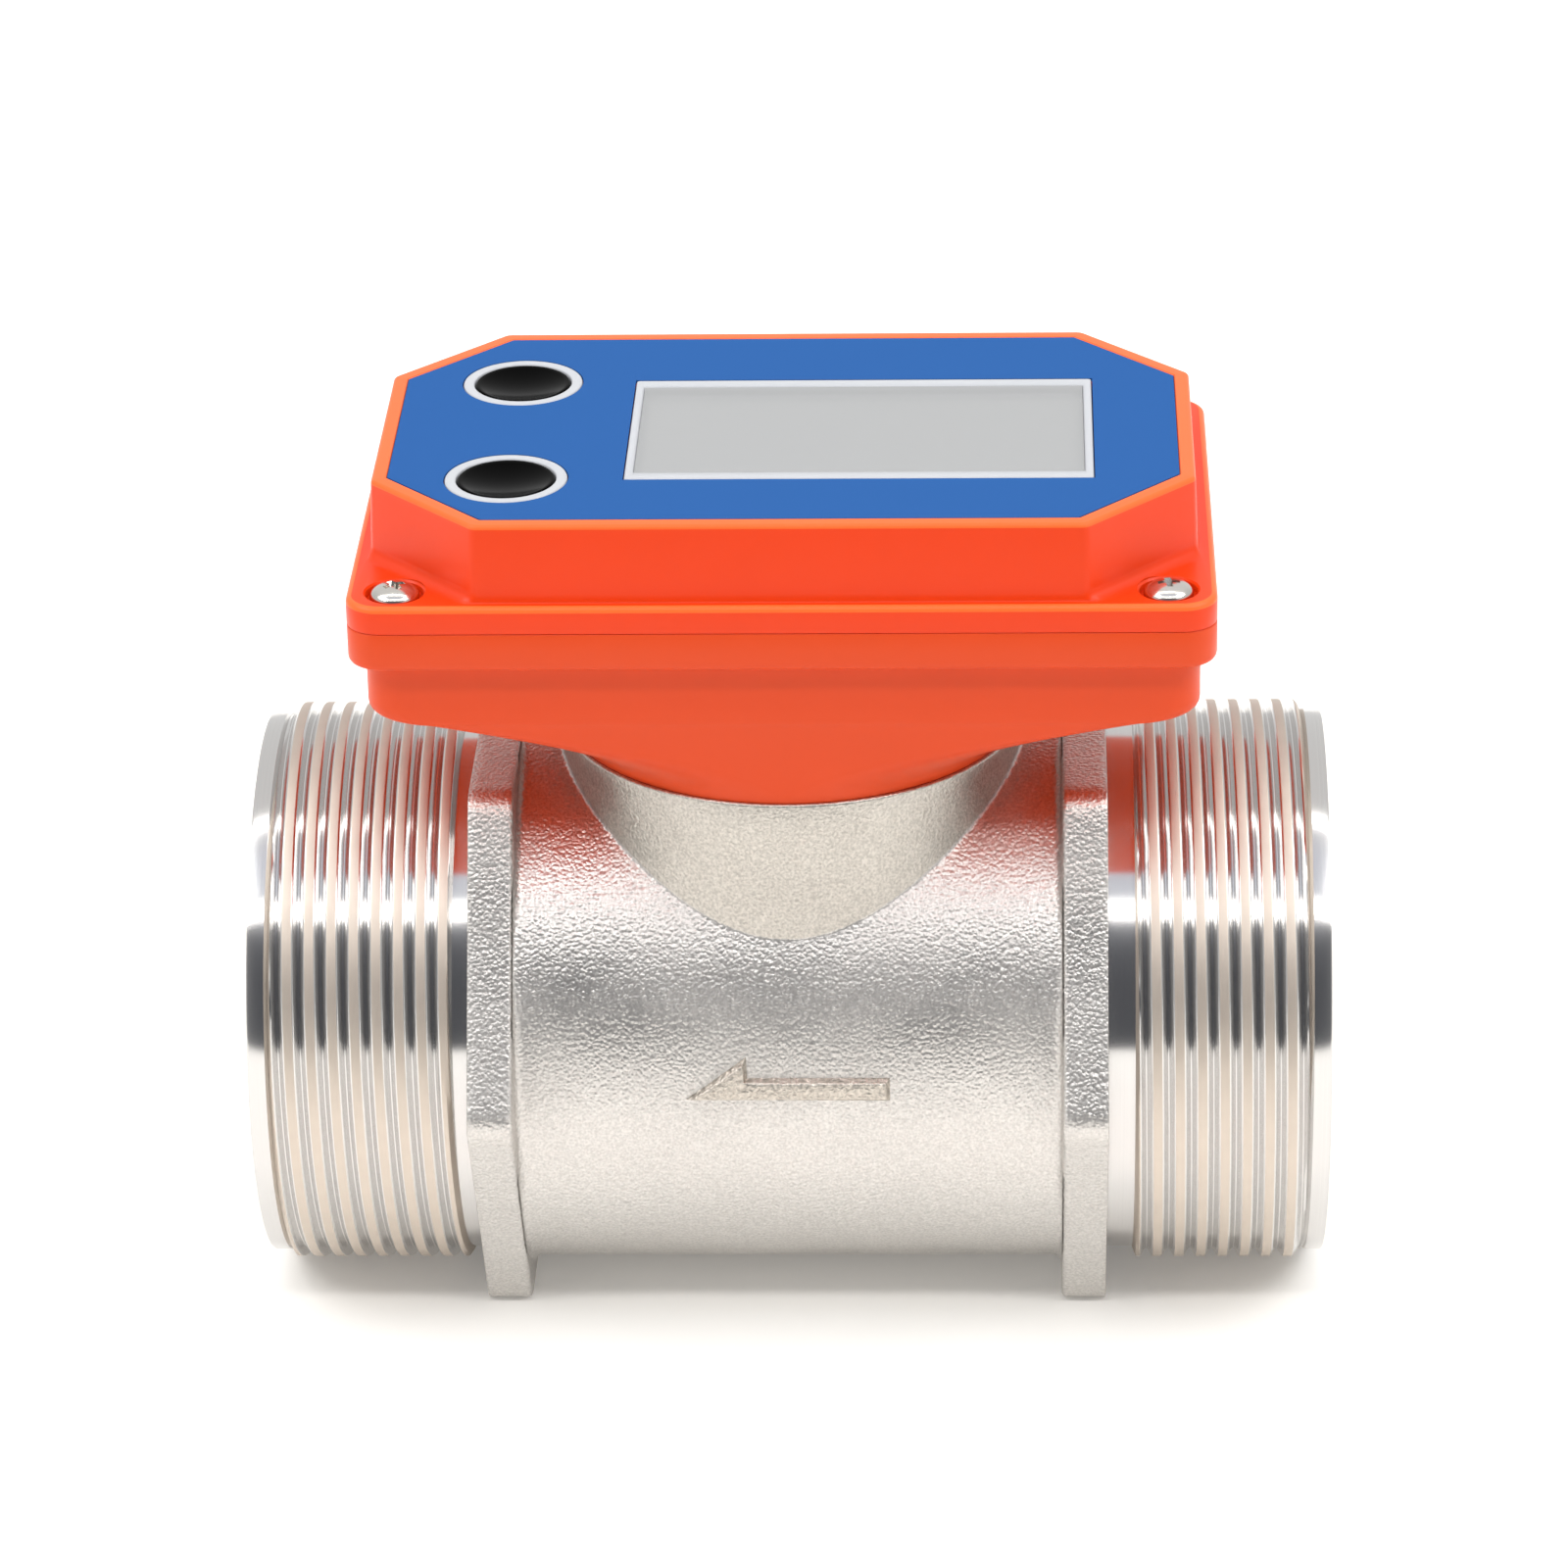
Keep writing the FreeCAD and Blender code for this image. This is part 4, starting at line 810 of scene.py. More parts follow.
    def barrel(self, skin: Skin) -> tuple[list[int], list[int]]:
        """Cast barrel between the hexes, with the boss standing on it.

        Args:
            skin: Skin that takes the faces.

        Returns:
            The barrel's closed end rows, outlet side and inlet side.
        """
        half = self.steps // 2
        reach = self.hex_inner - self.collar_fillet
        spans = 44
        across = [-reach + 2 * reach * i / spans for i in range(spans + 1)]
        columns = [skin.ring(self.row(x, self.barrel_radius)) for x in across]
        lower = [j % self.steps for j in range(half, self.steps + 1)]
        for one, two in zip(columns, columns[1:]):
            skin.bridge([one[j] for j in lower], [two[j] for j in lower], PipeSlot.CAST, closed=False)
        border = [columns[-1][j] for j in range(half + 1)]
        border += [columns[i][half] for i in range(spans - 1, -1, -1)]
        border += [columns[0][j] for j in range(half - 1, -1, -1)]
        border += [columns[i][0] for i in range(1, spans)]
        self.boss(skin, border)
        return columns[0], columns[-1]

    def boss(self, skin: Skin, border: Sequence[int]) -> None:
        """Round boss and the barrel skin round its foot.

        Args:
            skin: Skin that takes the faces.
            border: Closed row round the upper half of the barrel.
        """
        fillet, wall, barrel = self.boss_fillet, self.boss_radius, self.barrel_radius
        flat_reach = barrel * math.asin(wall / barrel)
        turns, unrolled = [], []
        for index in border:
            x, y, z = skin.points[index]
            s = -barrel * math.atan2(y, z - self.axis)
            unrolled.append((x, s))
            turns.append(math.atan2(-s * wall / flat_reach, x))
        foot, arcs, fillet_steps = [], [], 4
        for t in turns:
            cx, cy = (wall + fillet) * math.cos(t), (wall + fillet) * math.sin(t)
            cz = math.sqrt((barrel + fillet) ** 2 - cy * cy)
            to_barrel = Vector((0.0, -cy, -cz)) / (barrel + fillet)
            to_boss = Vector((-math.cos(t), -math.sin(t), 0.0))
            centre = Vector((cx, cy, cz + self.axis))
            arcs.append([centre + to_barrel.slerp(to_boss, k / fillet_steps) * fillet
                         for k in range(fillet_steps + 1)])
            low = arcs[-1][0]
            foot.append((low.x, -barrel * math.atan2(low.y, low.z - self.axis)))
        rows = []
        bands, crowding = 10, 1.3
        for b in range(1, bands):
            share = 1 - (1 - b / bands) ** crowding
            points = []
            for (x0, s0), (x1, s1) in zip(unrolled, foot):
                x, a = x0 + (x1 - x0) * share, -(s0 + (s1 - s0) * share) / barrel
                points.append((x, barrel * math.sin(a), self.axis + barrel * math.cos(a)))
            rows.append(points)
        rows += [[tuple(curve[k]) for curve in arcs] for k in range(fillet_steps + 1)]
        previous = skin.extend(border, rows, PipeSlot.CAST)
        edge, wall_steps = 0.3, 5
        rows = []
        for k in range(1, wall_steps + 1):
            rows.append([(wall * math.cos(t), wall * math.sin(t),
                          curve[-1].z + (self.top - edge - curve[-1].z) * k / wall_steps)
                         for t, curve in zip(turns, arcs)])
        rows += [self.upright(turns, wall - r, self.top - z) for r, z in rounding(edge, 22.5, 90, 3)]
        previous = skin.extend(previous, rows, PipeSlot.DRESSED)
        floor = self.top - self.pocket_depth
        pocket = ((self.pocket_radius + edge, self.top), (self.pocket_radius, self.top - edge),
                  (self.pocket_radius, floor), (self.well_radius, floor),
                  (self.well_radius, self.well_floor))
        rows = [self.upright(turns, r, z) for r, z in pocket]
        skin.face(skin.extend(previous, rows, PipeSlot.TURNED), PipeSlot.TURNED)

    def upright(self, turns: Sequence[float], radius: float, z: float) -> list[Point]:
        """Level row round the boss axis at given angles."""
        return [(radius * math.cos(t), radius * math.sin(t), z) for t in turns]

    def collar(self, skin: Skin, barrel_row: Sequence[int], side: int) -> Sequence[int]:
        """Spanner hex with soft cast edges.

        Args:
            skin: Skin that takes the faces.
            barrel_row: The barrel's end row.
            side: 1 for the inlet, -1 for the outlet.

        Returns:
            The last row, on the relief's corner.
        """
        soft, crisp, spare = 0.55, 0.18, 0.12
        hexagon = self.hexagon(0.0)

        def blend(angle: float, out: float) -> float:
            """Radius of the cast corner, narrowed where the hex hardly stands out."""
            room = min(self.collar_fillet, hexagon(angle) - self.barrel_radius - spare)
            return self.barrel_radius + room * out

        rows = []
        for out, back in rounding(1.0, 18, 90, 4):
            x = self.hex_inner - self.collar_fillet * back
            rows.append(self.row(side * x, partial(blend, out=out)))
        places = [(self.hex_inner + x, inset) for x, inset in rounding(soft, 0, 90, 4)]
        places += [(self.hex_inner + self.hex_thickness * k / 4, 0.0) for k in (1, 2, 3)]
        places += [(self.hex_outer - x, inset) for inset, x in rounding(crisp, 0, 90, 2)]
        rows += [self.row(side * x, self.hexagon(inset)) for x, inset in places]
        previous = skin.extend(barrel_row, rows, PipeSlot.CAST)
        shoulder = self.row(side * self.hex_outer, self.root_radius)
        return skin.extend(previous, [shoulder], PipeSlot.TURNED)

    def outer_end(self, skin: Skin, previous: Sequence[int], side: int) -> Sequence[int]:
        """Relief, thread and pilot of one end.

        Args:
            skin: Skin that takes the faces.
            previous: Row at the hex.
            side: 1 for the inlet, -1 for the outlet.

        Returns:
            The last row, where the mouth chamfer begins.
        """
        root, pilot, edge = self.root_radius, self.pilot_radius, 0.25
        start = self.hex_outer + self.relief[0 if side > 0 else 1]
        finish = self.end - self.pilot
        skin.extend(previous, [self.row(side * start, root)], PipeSlot.TURNED)
        self.thread(skin, *sorted((side * start, side * finish)))
        places = [(finish + pilot - root, pilot), (self.end - edge, pilot),
                  (self.end - edge * BEND, pilot - edge * BEND), (self.end, pilot - edge),
                  (self.end, self.bore + self.mouth_chamfer)]
        return skin.extend(skin.ring(self.row(side * finish, root)),
                           [self.row(side * x, r) for x, r in places], PipeSlot.TURNED)

    def inside(self, skin: Skin, inlet: Sequence[int], outlet: Sequence[int]) -> None:
        """Bore from mouth to mouth.

        Args:
            skin: Skin that takes the faces.
            inlet: Last row of the inlet end.
            outlet: Last row of the outlet end.
        """
        start, end, floor = self.groove
        half = [(self.end - self.mouth_chamfer, self.bore), (end, self.bore), (end, floor),
                (start, floor), (start, self.bore), (self.meter_half, self.bore),
                (self.meter_half, self.meter_bore)]
        places = half + [(-x, r) for x, r in reversed(half)]
        last = skin.extend(inlet, [self.row(x, r) for x, r in places], PipeSlot.TURNED)
        skin.bridge(last, outlet, PipeSlot.TURNED)

    def make(self) -> None:
        """Builds the whole body as one closed skin and puts it on the housing."""
        skin = Skin()
        low, high = self.barrel(skin)
        ends = {}
        for side, row in ((1, high), (-1, low)):
            ends[side] = self.outer_end(skin, self.collar(skin, row, side), side)
        self.inside(skin, ends[1], ends[-1])
        piece = skin.build("pipe_body", [CAST, TURNED, CAST_FINE, SCUFFED], sharp=34.0)
        ride(piece, Body.HOUSING, "cast_stainless", "flow_body")
        self.arrow()

    def arrow(self) -> None:
        """Raised flow arrow on the barrel's front, pointing to the outlet."""
        proud, sunk, slope, edge, lean = 0.72, 0.5, 0.3, 0.36, 0.1
        tip, tail, low, neck, head, barb = -10.1, 10.2, 1.25, 3.2, 5.2, -4.5
        outline = [(tip, low), (tail, low), (tail, neck), (barb, neck), (barb - lean, head)]
        rows = [(slope, -sunk), (slope, 0.0), (0.0, proud - edge)]
        rows += [(-r, proud - z) for r, z in rounding(edge, 15, 90, 4)]
        skin = Skin()
        skin.stack([[self.on_barrel(x, z, lift) for x, z in self.spread(outline, grow)]
                    for grow, lift in rows])
        ride(skin.build("flow_arrow", [CAST_SIGN], sharp=60.0), Body.HOUSING, "cast_stainless")

    def spread(self, outline: Sequence[Flat], grow: float) -> list[Flat]:
        """Outline moved outward and divided into short steps.

        Args:
            outline: Corners, anticlockwise.
            grow: Distance outward.

        Returns:
            The points.
        """
        corners = [Vector(c) for c in outline]
        steps, sharpest = 6, 0.35
        moved = []
        for i, corner in enumerate(corners):
            n_in, n_out = normals(corners, i)
            moved.append(corner + (n_in + n_out) / max(1 + n_in.dot(n_out), sharpest) * grow)
        found = []
        for i, corner in enumerate(moved):
            after = moved[(i + 1) % len(moved)]
            found += [tuple(corner.lerp(after, k / steps)) for k in range(steps)]
        return found

    def on_barrel(self, x: float, rise: float, lift: float) -> Point:
        """Point on the front of the barrel, at a height above the axis and a lift off the skin."""
        angle = math.pi - math.asin(rise / self.barrel_radius)
        return self.around(x, self.barrel_radius + lift, angle)


# ---------------------------------------------------------------- display head shells
@dataclass
class HeadShells:
    """Orange shells of the display head: flared base and lid with its raised bezel.

    Attributes:
        foot_step: How far the foot stands inside the boss.
        box_inset: How far the box stands inside the flange, along X and Y.
        box_edge: Rounding of the box's lower edge.
        flare_height: Height of the flare from the round foot to the box.
        flare_power: How late the flare opens: one is a straight cone.
        bezel_inset: How far the bezel stands inside the flange, along X and Y.
        bezel_cut: Corner cuts of the bezel, along X and Y.
        bezel_radius: Rounding of the bezel's eight corners.
        draft: How far the bezel's foot stands out from its rim.
        blend: Radius of the hollow between flange and bezel.
        foot_spread: How much larger the hollow's outer line is than the bezel.
        foot_cut: How much shorter that line's corner cuts are.
        foot_rounding: How much larger its corner radius is.
        flange_land: Width of the flanges' meeting faces.
        label_cut: Corner cuts of the label's recess, along X and Y.
        counterbore: Depth of the screws' seats.
        counterbore_gap: Gap round a screw's head in its seat.
        gap: Gap round what is set into the lid.
        lap: Height by which base and lid keep clear of the split line.
        lip: Rounding of the flanges at the split line.
    """

    foot_step: float = 0.43
    box_inset: Flat = (1.6, 2.4)
    box_corner: float = 3.2
    box_edge: float = 2.0
    box_height: float = 7.12
    flare_height: float = 9.4
    flare_power: float = 1.6
    flange_corner: float = 3.6
    lid_flange: float = 2.95
    bezel_inset: Flat = (2.0, 1.56)
    bezel_cut: Flat = (11.13, 11.88)
    bezel_radius: float = 1.3
    draft: float = 0.25
    blend: float = 1.3
    foot_spread: float = 0.6
    foot_cut: float = 1.3
    foot_rounding: float = 1.0
    flange_land: float = 3.0
    label_cut: Flat = (10.31, 11.04)
    label_recess: float = 0.4
    counterbore: float = 0.9
    counterbore_gap: float = 0.25
    gap: float = 0.1
    lap: float = 0.02
    lip: float = 0.16

    def __post_init__(self) -> None:
        """Reads the head's outer sizes from the frame."""
        high = Space("base_housing").high
        self.flange = Outline.rounded(high.x, high.y, self.flange_corner)
        self.split = high.z
        self.boss_top = Space("flow_body").high.z
        self.rim = Space("lid").high.z
        self.box_bottom = self.boss_top + self.flare_height
        self.box_top = self.box_bottom + self.box_height
        self.lid_top = self.split + self.lid_flange
        self.foot = PipeBody.boss_radius - self.foot_step
        self.box = Outline.rounded(high.x - self.box_inset[0], high.y - self.box_inset[1],
                                   self.box_corner)
        half = (high.x - self.bezel_inset[0], high.y - self.bezel_inset[1])
        self.bezel = Outline(half, self.bezel_cut, self.bezel_radius)
        label, room = Space("face_label").high, 0.08
        self.label = Outline((label.x + room, label.y + room), self.label_cut, 0.25)

    def base(self) -> None:
        """Lower shell: round foot that flares into the box, then the flange."""
        foot = Outline.rounded(self.foot, self.foot, self.foot)
        start = self.boss_top + self.lap
        share_left = self.box_edge / (self.box.half[0] - self.foot)
        spigot, sunk, inner, outer, steps = -0.25, 0.3, 0.6, 0.7, 18
        rows = [foot.points(spigot, self.boss_top - sunk), foot.points(spigot, start)]
        for k in range(steps + 1):
            t = k / steps
            mixed = foot.mixed(self.box, (1 - share_left) * t ** self.flare_power)
            rows.append(mixed.points(0.0, start + (self.flare_height - self.lap) * t))
        for rise, back in rounding(1.0, 15, 90, 5):
            mixed = foot.mixed(self.box, 1 - share_left * back)
            rows.append(mixed.points(0.0, self.box_bottom + self.box_edge * rise))
        rows += [self.box.points(out, self.box_top - z) for out, z in rounding(inner, 0, 90, 3)]
        rows += [self.flange.points(-r, self.box_top + z) for z, r in rounding(outer, 0, 90, 4)]
        rows += [self.flange.points(-r, self.split - z) for r, z in rounding(self.lip, 0, 90, 2)]
        rows.append(self.flange.points(-self.flange_land, self.split - self.lap / 2))
        skin = Skin()
        skin.stack(rows)
        ride(skin.build("head_base_shell", [ORANGE_BASE], sharp=SOFT), Body.HOUSING, "orange_plastic",
             "base_housing")

    def lid(self) -> None:
        """Upper shell: flange, concave blend, drafted bezel and recessed face."""
        edge, rim_edge, soft, flange, bottom = 0.6, 0.42, 0.12, self.flange, self.split + self.lap
        rows = [flange.points(-self.flange_land, bottom)]
        rows += [flange.points(-r, bottom + z) for z, r in rounding(self.lip, 0, 90, 2)]
        # The bands in edges, the flange's rounded top edge and further down the bezel's rounded rim,
        # take the painted highlight, a paler orange.
        start = len(rows)
        rows += [flange.points(-r, self.lid_top - z) for r, z in rounding(edge, 0, 90, 5)]
        edges = set(range(start, len(rows) - 1))
        wide = (self.bezel.half[0] + self.foot_spread, self.bezel.half[1] + self.foot_spread)
        less = (self.bezel_cut[0] - self.foot_cut, self.bezel_cut[1] - self.foot_cut)
        foot = Outline(wide, less, self.bezel_radius + self.foot_rounding)
        for rise, back in rounding(1.0, 0, 90, 7):
            mixed = self.bezel.mixed(foot, back)
            rows.append(mixed.points(self.draft * (1 - back), self.lid_top + self.blend * rise))
        start = len(rows)
        rows += [self.bezel.points(-r, self.rim - z) for r, z in rounding(rim_edge, 0, 90, 5)]
        rows += [self.label.points(soft, self.rim), self.label.points(0.0, self.rim - soft),
                 self.label.points(0.0, self.rim - self.label_recess)]
        edges |= set(range(start, len(rows) - 2))
        skin = Skin()
        skin.stack(rows, edges=edges)
        # Slot one is the painted edge highlight.
        piece = skin.build("head_lid_shell", [ORANGE_LID, ORANGE_EDGE], sharp=SOFT)
        for tool in self.lid_tools():
            cut_away(piece, tool)
        ride(piece, Body.HOUSING, "orange_plastic", "lid")

    def lid_tools(self) -> list[Piece]:
        """Spaces that the lid leaves for screw heads, window and buttons."""
        tools, chamfer, ledge, past, window_depth = [], 0.2, 0.2, 1.0, 6.0
        radius = CAD_SCREW_HEAD + self.counterbore_gap
        seat = [(radius, self.lid_top - self.counterbore), (radius, self.lid_top - chamfer),
                (radius + chamfer, self.lid_top), (radius + chamfer, self.rim)]
        out = Space("lid_screws").high
        for sx in (1, -1):
            for sy in (1, -1):
                place = (sx * (out.x - CAD_SCREW_HEAD), sy * (out.y - CAD_SCREW_HEAD))
                tools.append(lathe_z("tool", seat, place, ORANGE_LID, 64))
        for name in ("set_button_ring", "clear_button_ring"):
            ring = Space(name)
            radius, step = ring.half.x + self.gap, ring.low.z
            profile = [(radius - ledge, self.split - past), (radius - ledge, step), (radius, step),
                       (radius, self.rim + past)]
            tools.append(lathe_z("tool", profile, (ring.middle.x, ring.middle.y), ORANGE_LID, 64))
        window = Space("window_frame").outline(self.gap, 0.2)
        skin = Skin()
        skin.stack([window.points(0.0, self.rim - window_depth), window.points(0.0, self.rim + past)])
        tools.append(skin.build("tool", [ORANGE_LID]))
        return tools

    def make(self) -> None:
        """Builds both shells."""
        self.base()
        self.lid()


# ---------------------------------------------------------------- head face
@dataclass
class Face:
    """Window frame, buttons and lid screws on the head.

    Attributes:
        ring_edge: Soft edge of the button rings and of the window frame.
        cap_gap: Gap between a cap and its ring.
        cap_sunk: How far a cap's rim lies below the ring.
        cap_lip: Rounding of a cap's rim.
        cap_foot: Extra radius and height of the wide foot that keeps a cap in the lid.
        slot_width: Width of a screw's cross recess at the top.
        slot_reach: Reach of the recess from the axis at the top.
    """

    ring_edge: float = 0.18
    ring_width: float = 1.15
    cap_gap: float = 0.15
    cap_sunk: float = 0.04
    cap_lip: float = 0.2
    cap_dish: float = 0.8
    cap_foot: Flat = (1.0, 0.7)
    screw_radius: float = 2.52
    shank_radius: float = 1.35
    slot_width: float = 0.75
    slot_reach: float = 1.4

    def window_frame(self) -> None:
        """Light frame with softened edges and the ledge that carries the window."""
        frame_space, glass = Space("window_frame"), Space("display_window")
        low, top, soft, ledge = frame_space.low.z, frame_space.high.z, self.ring_edge, -0.6
        outer, inner = frame_space.outline(0.0, 0.35), glass.outline(0.05, 0.25)
        rows = [inner.points(ledge, low), outer.points(0.0, low), outer.points(0.0, top - soft),
                outer.points(-soft * BEND, top - soft * BEND), outer.points(-soft, top),
                inner.points(soft, top), inner.points(0.0, top - soft),
                inner.points(0.0, glass.low.z), inner.points(ledge, glass.low.z)]
        self.hoop("window_frame_soft", rows, "window_frame")

    def buttons(self) -> None:
        """Dished caps and the flat rings round them."""
        for name, body in (("set", Body.SET_KEY), ("clear", Body.CLEAR_KEY)):
            ring, low = Space(name + "_button_ring"), Space(name + "_button").low.z
            centre = (ring.middle.x, ring.middle.y)
            outer, top, edge = ring.half.x, ring.high.z, self.ring_edge
            bore, bend = outer - self.ring_width, edge * BEND
            profile = [(bore, ring.low.z), (outer, ring.low.z), (outer, top - edge),
                       (outer - bend, top - bend), (outer - edge, top), (bore + edge, top),
                       (bore + bend, top - bend), (bore, top - edge)]
            self.hoop(name + "_ring_soft", [circle(r, z, centre) for r, z in profile],
                      name + "_button_ring")
            cap, rim, lip = bore - self.cap_gap, top - self.cap_sunk, self.cap_lip
            foot_radius, foot_top = cap + self.cap_foot[0], low + self.cap_foot[1]
            rows = [(foot_radius, low), (foot_radius, foot_top), (cap, foot_top)]
            rows += [(cap - r, rim - z) for r, z in rounding(lip, 0, 90, 4)]
            steps = 14
            for k in range(1, steps + 1):
                share = 1 - k / (steps + 0.5)
                rows.append(((cap - lip) * share, rim - self.cap_dish * (1 - share * share)))
            piece = lathe_z(name + "_cap_dish", rows, centre, CAP_BLACK)
            ride(piece, body, "button_black", name + "_button")

    def hoop(self, name: str, rows: Sequence[Sequence[Point]], node: str) -> None:
        """Light trim ring with a closed profile.

        Args:
            name: Name of the piece.
            rows: One closed row for each corner of the profile.
            node: CAD node that it replaces.
        """
        skin = Skin()
        first = skin.ring(rows[0])
        skin.bridge(skin.extend(first, rows[1:]), first)
        ride(skin.build(name, [TRIM], sharp=SOFT), Body.HOUSING, "light_trim", node)

    def lid_screws(self) -> None:
        """Pan-head screws with cross recesses, each turned its own way."""
        space, radius, shank, soft = Space("lid_screws"), self.screw_radius, self.shank_radius, 0.1
        seat = HeadShells().lid_top - HeadShells.counterbore
        rise = space.high.z - seat
        wall = rise * 0.25
        profile = [(shank, space.low.z), (shank, seat), (radius - soft, seat), (radius, seat + soft)]
        profile += [(radius * math.cos(a), seat + wall + (rise - wall) * math.sin(a))
                    for a in arc(0, 84, 12)]
        turns = {(1, 1): 20.0, (-1, 1): 65.0, (-1, -1): 33.0, (1, -1): 8.0}
        for (sx, sy), degrees in turns.items():
            centre = (sx * (space.high.x - CAD_SCREW_HEAD), sy * (space.high.y - CAD_SCREW_HEAD))
            name = f"lid_screw_{'inlet' if sx > 0 else 'outlet'}_{'back' if sy > 0 else 'front'}"
            piece = lathe_z(name, profile, centre, SCREW, 64)
            for quarter in (0, 90):
                cut_away(piece, self.recess(centre, space.high.z, math.radians(degrees + quarter)))
            ride(piece, Body.HOUSING, "screw_steel", *(("lid_screws",) if (sx, sy) == (1, 1) else ()))

    def recess(self, centre: Flat, top: float, turn: float) -> Piece:
        """One bar of the cross recess, narrower at its foot.

        Args:
            centre: Place of the screw's axis.
            top: Top of the head.
            turn: Turn about the axis, in radians.

        Returns:
            The closed bar.
        """
        skin = Skin()
        rows, depth, past, foot = [], 1.25, 0.3, (0.35, 0.4)
        for z, (reach, width) in ((top - depth, foot), (top + past, (self.slot_reach, self.slot_width))):
            y = width / 2
            corners = [(reach, -y), (reach, y), (-reach, y), (-reach, -y)]
            rows.append([(centre[0] + x * math.cos(turn) - y * math.sin(turn),
                          centre[1] + x * math.sin(turn) + y * math.cos(turn), z) for x, y in corners])
        skin.stack(rows)
        return skin.build("tool", [SCREW])

    def make(self) -> None:
        """Builds the pieces on the head's face."""
        self.window_frame()
        self.buttons()
        self.lid_screws()


# ---------------------------------------------------------------- CAD nodes that stay
@dataclass(frozen=True)
class KeptNodes:
    """CAD nodes that keep their shape and get a finish.

    Attributes:
        finishes: Each finish and the nodes that get it.
    """

    finishes: tuple[tuple[Finish, tuple[str, ...]], ...] = (
        (ACETAL, ("inlet_support", "outlet_support")),
        (SPRING, ("inlet_snap_ring", "outlet_snap_ring", "battery_contacts")),
        (CERAMIC, ("inlet_bearing", "outlet_bearing")),
        (WASHER, ("inlet_thrust_washer", "outlet_thrust_washer")),
        (ACETAL_BLACK, ("rotor", "battery_tray")),
        (GROUND, ("rotor_shaft",)),
        (NICKEL, ("rotor_magnets",)),
        (RUBBER, ("foot_seal", "lid_gasket")),
        (SCREW, ("foot_screws", "board_screws", "tray_screws")),
        (LABEL_BLUE, ("face_label",)),
        (WINDOW, ("display_window",)),
        (LCD, ("lcd_panel",)),
        (NYLON, ("lcd_holder", "sensor_capsule", "set_plunger", "clear_plunger")),
        (RESIN, ("main_board", "sensor_board")),
        (EPOXY, ("board_chips", "hall_sensor", "sensor_header", "set_switch", "clear_switch")),
        (WRAP, ("battery_cells",)),
    )

    def make(self) -> None:
        """Gives each kept node its finish."""
        for finish, nodes in self.finishes:
            for node in nodes:
                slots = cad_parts[node].data.materials
                for i in range(len(slots)):
                    slots[i] = finish.material()
                LOG.info("%s keeps its shape in %s", node, finish.name)


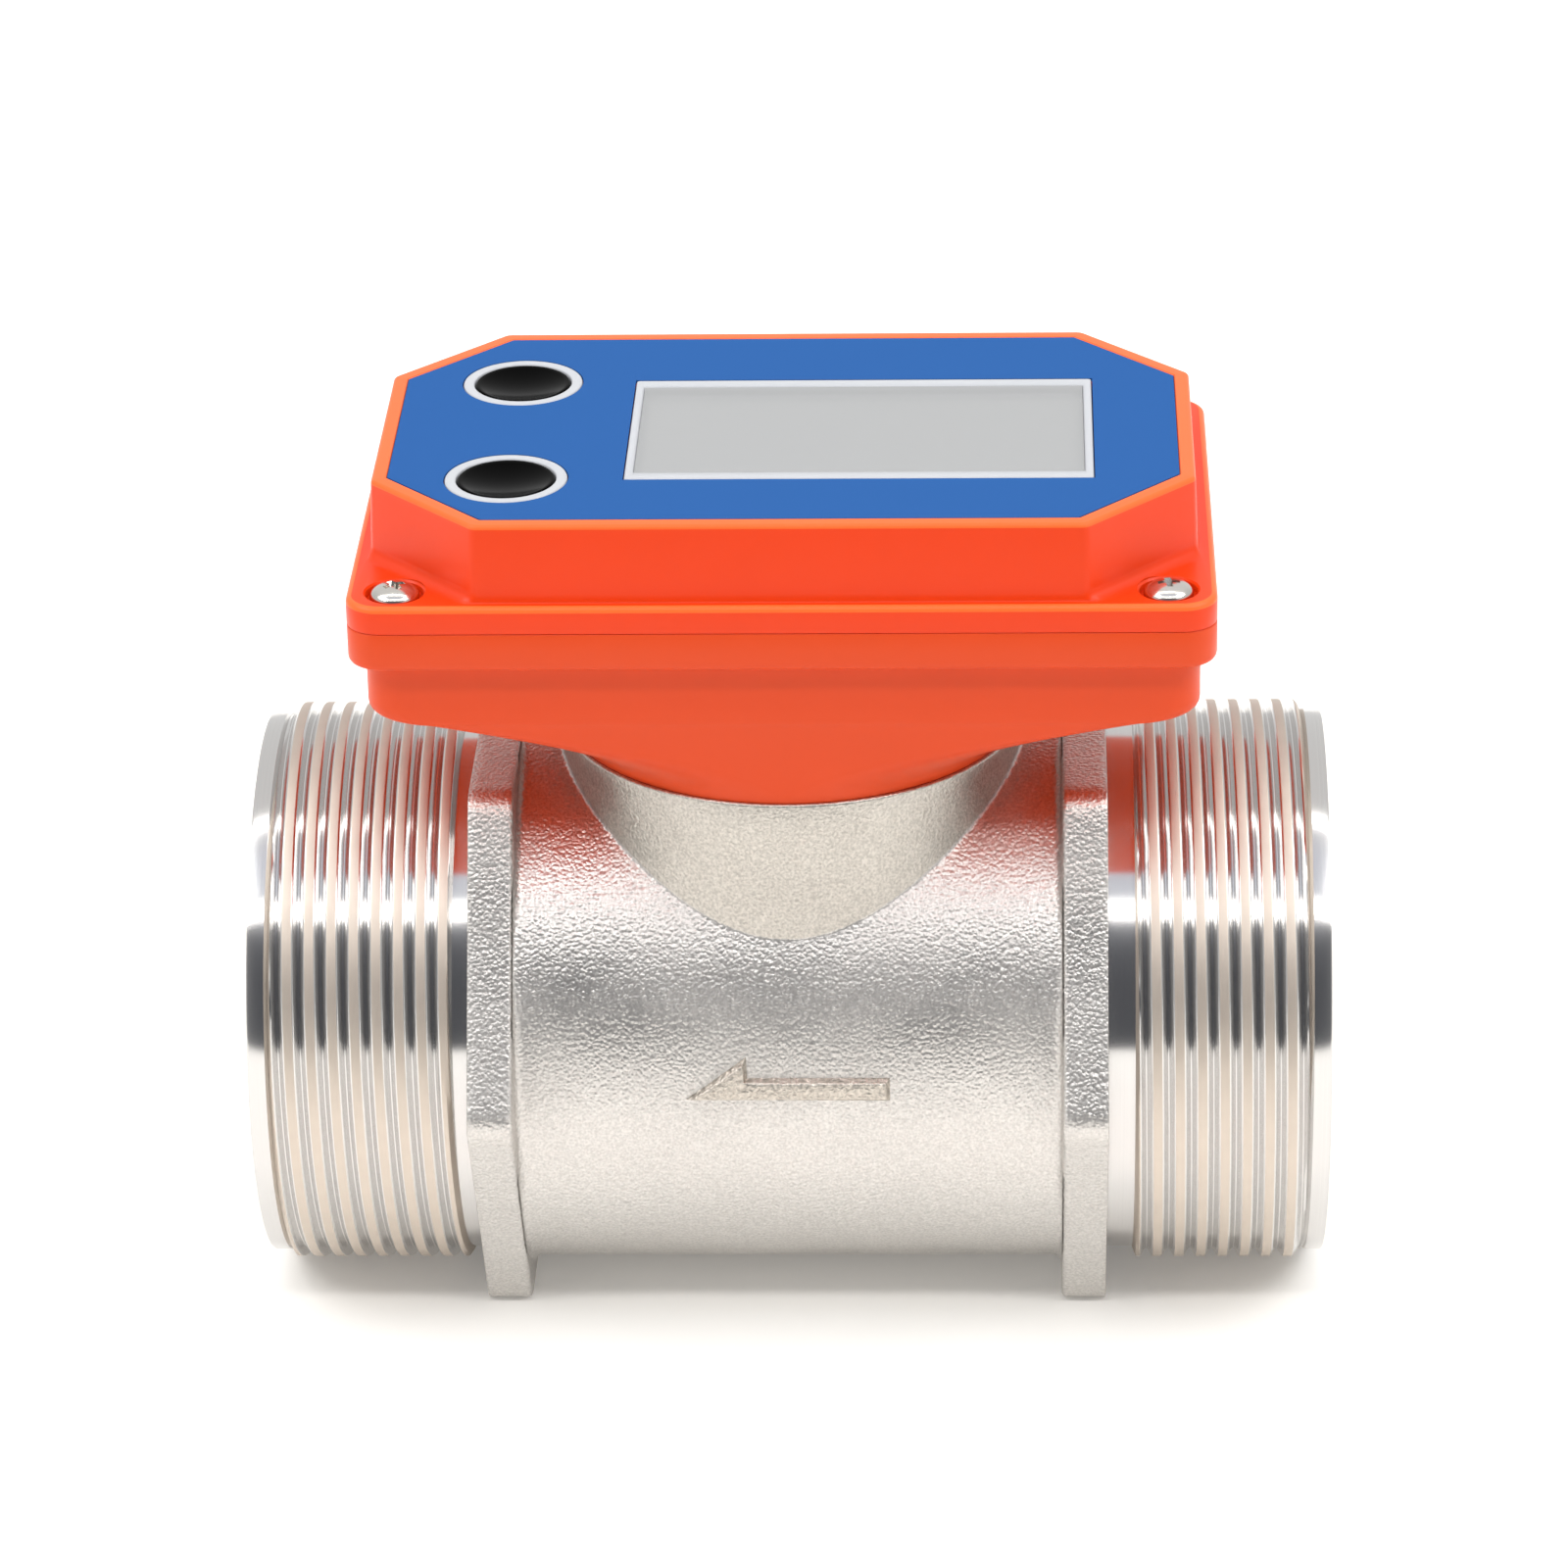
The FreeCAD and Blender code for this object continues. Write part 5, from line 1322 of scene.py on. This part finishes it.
# ---------------------------------------------------------------- studio
@dataclass
class Studio:
    """Floor, lights and camera.

    Attributes:
        target: Point that the camera looks at.
        distance: Distance from the camera to that point.
        azimuth: Camera's turn about the upright axis, in degrees.
        elevation: Camera's height above the horizon, in degrees.
        roll: Camera's tilt, in degrees.
        lens: Focal length on a frame of the sensor's width.
        floor_half: Half the floor's width, and its reach behind the object.
        floor_front: Its reach in front of the object.
        front: Room's brightness on the camera's side, by degrees above the horizon.
        tone: Room's colour on that side, as factors of red, green and blue.
        back: Room's brightness on the far side.
        sides: Room's brightness to the left and right.
        backdrop: Brightness of the room where the camera sees it.
        lamp_aim: Height that the lamps point at.
    """

    target: Point = (0.0, -24.8, 64.9)
    distance: float = 650.0
    azimuth: float = 2.2645
    elevation: float = 25.508
    roll: float = -1.1291
    lens: float = 146.864
    sensor: float = 36.0
    floor_half: float = 4000.0
    floor_front: float = 600.0
    front: tuple[Flat, ...] = ((0, 0.105), (25, 0.11), (38, 0.14), (46, 0.22), (52, 0.38), (60, 0.7),
                               (90, 0.8))
    tone: Point = (1.0, 1.045, 1.17)
    back: float = 0.85
    sides: float = 0.7
    backdrop: float = 1.1
    lamp_aim: float = 50.0

    def floor(self) -> None:
        """Level lit table under the object."""
        h, near = self.floor_half, self.floor_front
        skin = Skin()
        skin.face(skin.ring([(-h, -near, 0.0), (h, -near, 0.0), (h, h, 0.0), (-h, h, 0.0)]))
        skin.build("studio_floor", [PAPER])

    def lamp(self, name: str, elevation: float, distance: float, size: Flat, power: float,
             warmth: str = "FFFFFF", azimuth: float = 0.0) -> None:
        """Soft rectangular light that faces the object.

        Args:
            name: Name of the light.
            elevation: Degrees above the horizon on the camera's side, over 90 for the far side.
            distance: Distance from the object, mm.
            size: Length and width, mm.
            power: Power in watts.
            warmth: Colour, sRGB hex.
            azimuth: Degrees round the object from the front towards the inlet.
        """
        data = bpy.data.lights.new(name, "AREA")
        data.shape, data.size, data.size_y = "RECTANGLE", size[0] * MM, size[1] * MM
        data.energy = power
        data.color = linear(warmth)[:3]
        made = bpy.data.objects.new(name, data)
        a, e = math.radians(azimuth), math.radians(elevation)
        way = Vector((math.sin(a) * math.cos(e), -math.cos(a) * math.cos(e), math.sin(e)))
        side = Vector((math.cos(a), math.sin(a), 0.0))
        made.matrix_world = Matrix((side, way.cross(side), way)).transposed().to_4x4()
        made.location = (Vector((0.0, 0.0, self.lamp_aim)) + way * distance) * MM
        bpy.context.scene.collection.objects.link(made)

    def sky(self) -> None:
        """Room round the object: pale, with a dim band low on the camera's side."""
        world = bpy.data.worlds.new("studio_room")
        bpy.context.scene.world = world
        world.use_nodes = True
        tree = world.node_tree
        tree.nodes.clear()
        way = add_node(tree, "ShaderNodeTexCoord", {}).outputs["Generated"]
        split = add_node(tree, "ShaderNodeSeparateXYZ", {"Vector": way}).outputs
        rise = add_node(tree, "ShaderNodeValToRGB", {"Fac": split[2]})
        ramp = rise.color_ramp
        while len(ramp.elements) < len(self.front):
            ramp.elements.new(0.5)
        for element, (degrees, level) in zip(ramp.elements, self.front):
            element.position = math.sin(math.radians(degrees))
            element.color = tuple(level * share for share in self.tone) + (1.0,)
        across = add_node(tree, "ShaderNodeMath", {"operation": "ABSOLUTE", 0: split[0]})
        aside = {"From Min": 0.45, "From Max": 0.8, "Value": across.outputs[0]}
        behind = {"From Min": -0.2, "From Max": 0.2, "Value": split[1]}
        room = rise.outputs[0]
        for limits, level in ((behind, self.back), (aside, self.sides)):
            share = add_node(tree, "ShaderNodeMapRange", limits).outputs[0]
            room = add_mix(tree, share, room, (level, level, level, 1.0))
        seen = add_node(tree, "ShaderNodeLightPath", {}).outputs["Is Camera Ray"]
        room = add_mix(tree, seen, room, (self.backdrop, self.backdrop, self.backdrop, 1.0))
        back = add_node(tree, "ShaderNodeBackground", {"Strength": 1.0, "Color": room})
        add_node(tree, "ShaderNodeOutputWorld", {"Surface": back.outputs[0]})

    def camera(self) -> None:
        """Camera that looks down on the front."""
        data = bpy.data.cameras.new("camera")
        data.lens, data.sensor_width = self.lens, self.sensor
        data.clip_start, data.clip_end = 0.01, 20.0
        made = bpy.data.objects.new("camera", data)
        a, e, r = (math.radians(v) for v in (self.azimuth, self.elevation, self.roll))
        ahead = Vector((-math.sin(a) * math.cos(e), math.cos(a) * math.cos(e), -math.sin(e)))
        right = Vector((math.cos(a), math.sin(a), 0.0))
        up = right.cross(ahead)
        side = right * math.cos(r) + up * math.sin(r)
        rise = up * math.cos(r) - right * math.sin(r)
        made.matrix_world = Matrix((side, rise, -ahead)).transposed().to_4x4()
        made.location = (Vector(self.target) - ahead * self.distance) * MM
        bpy.context.scene.collection.objects.link(made)
        bpy.context.scene.camera = made

    def make(self) -> None:
        """Sets up the studio."""
        self.floor()
        self.sky()
        self.lamp("front_strip", 55.5, 3000, (5200, 290), 41, "FFFDFA")
        self.lamp("top_strip", 96.5, 3000, (5200, 270), 22, "FFFDFA")
        for side in (1, -1):
            self.lamp("side_box", 48.0, 2500, (1500, 1000), 20, azimuth=76.0 * side)
        self.camera()
        bpy.context.scene.view_settings.view_transform = "Standard"


def main() -> None:
    """Builds the pieces, sub-assembly by sub-assembly, and the studio."""
    logging.basicConfig(level=logging.INFO, format="%(name)s: %(message)s")
    for part in (PipeBody(), HeadShells(), Face(), KeptNodes(), Studio()):
        part.make()


if __name__ == "__main__":
    main()
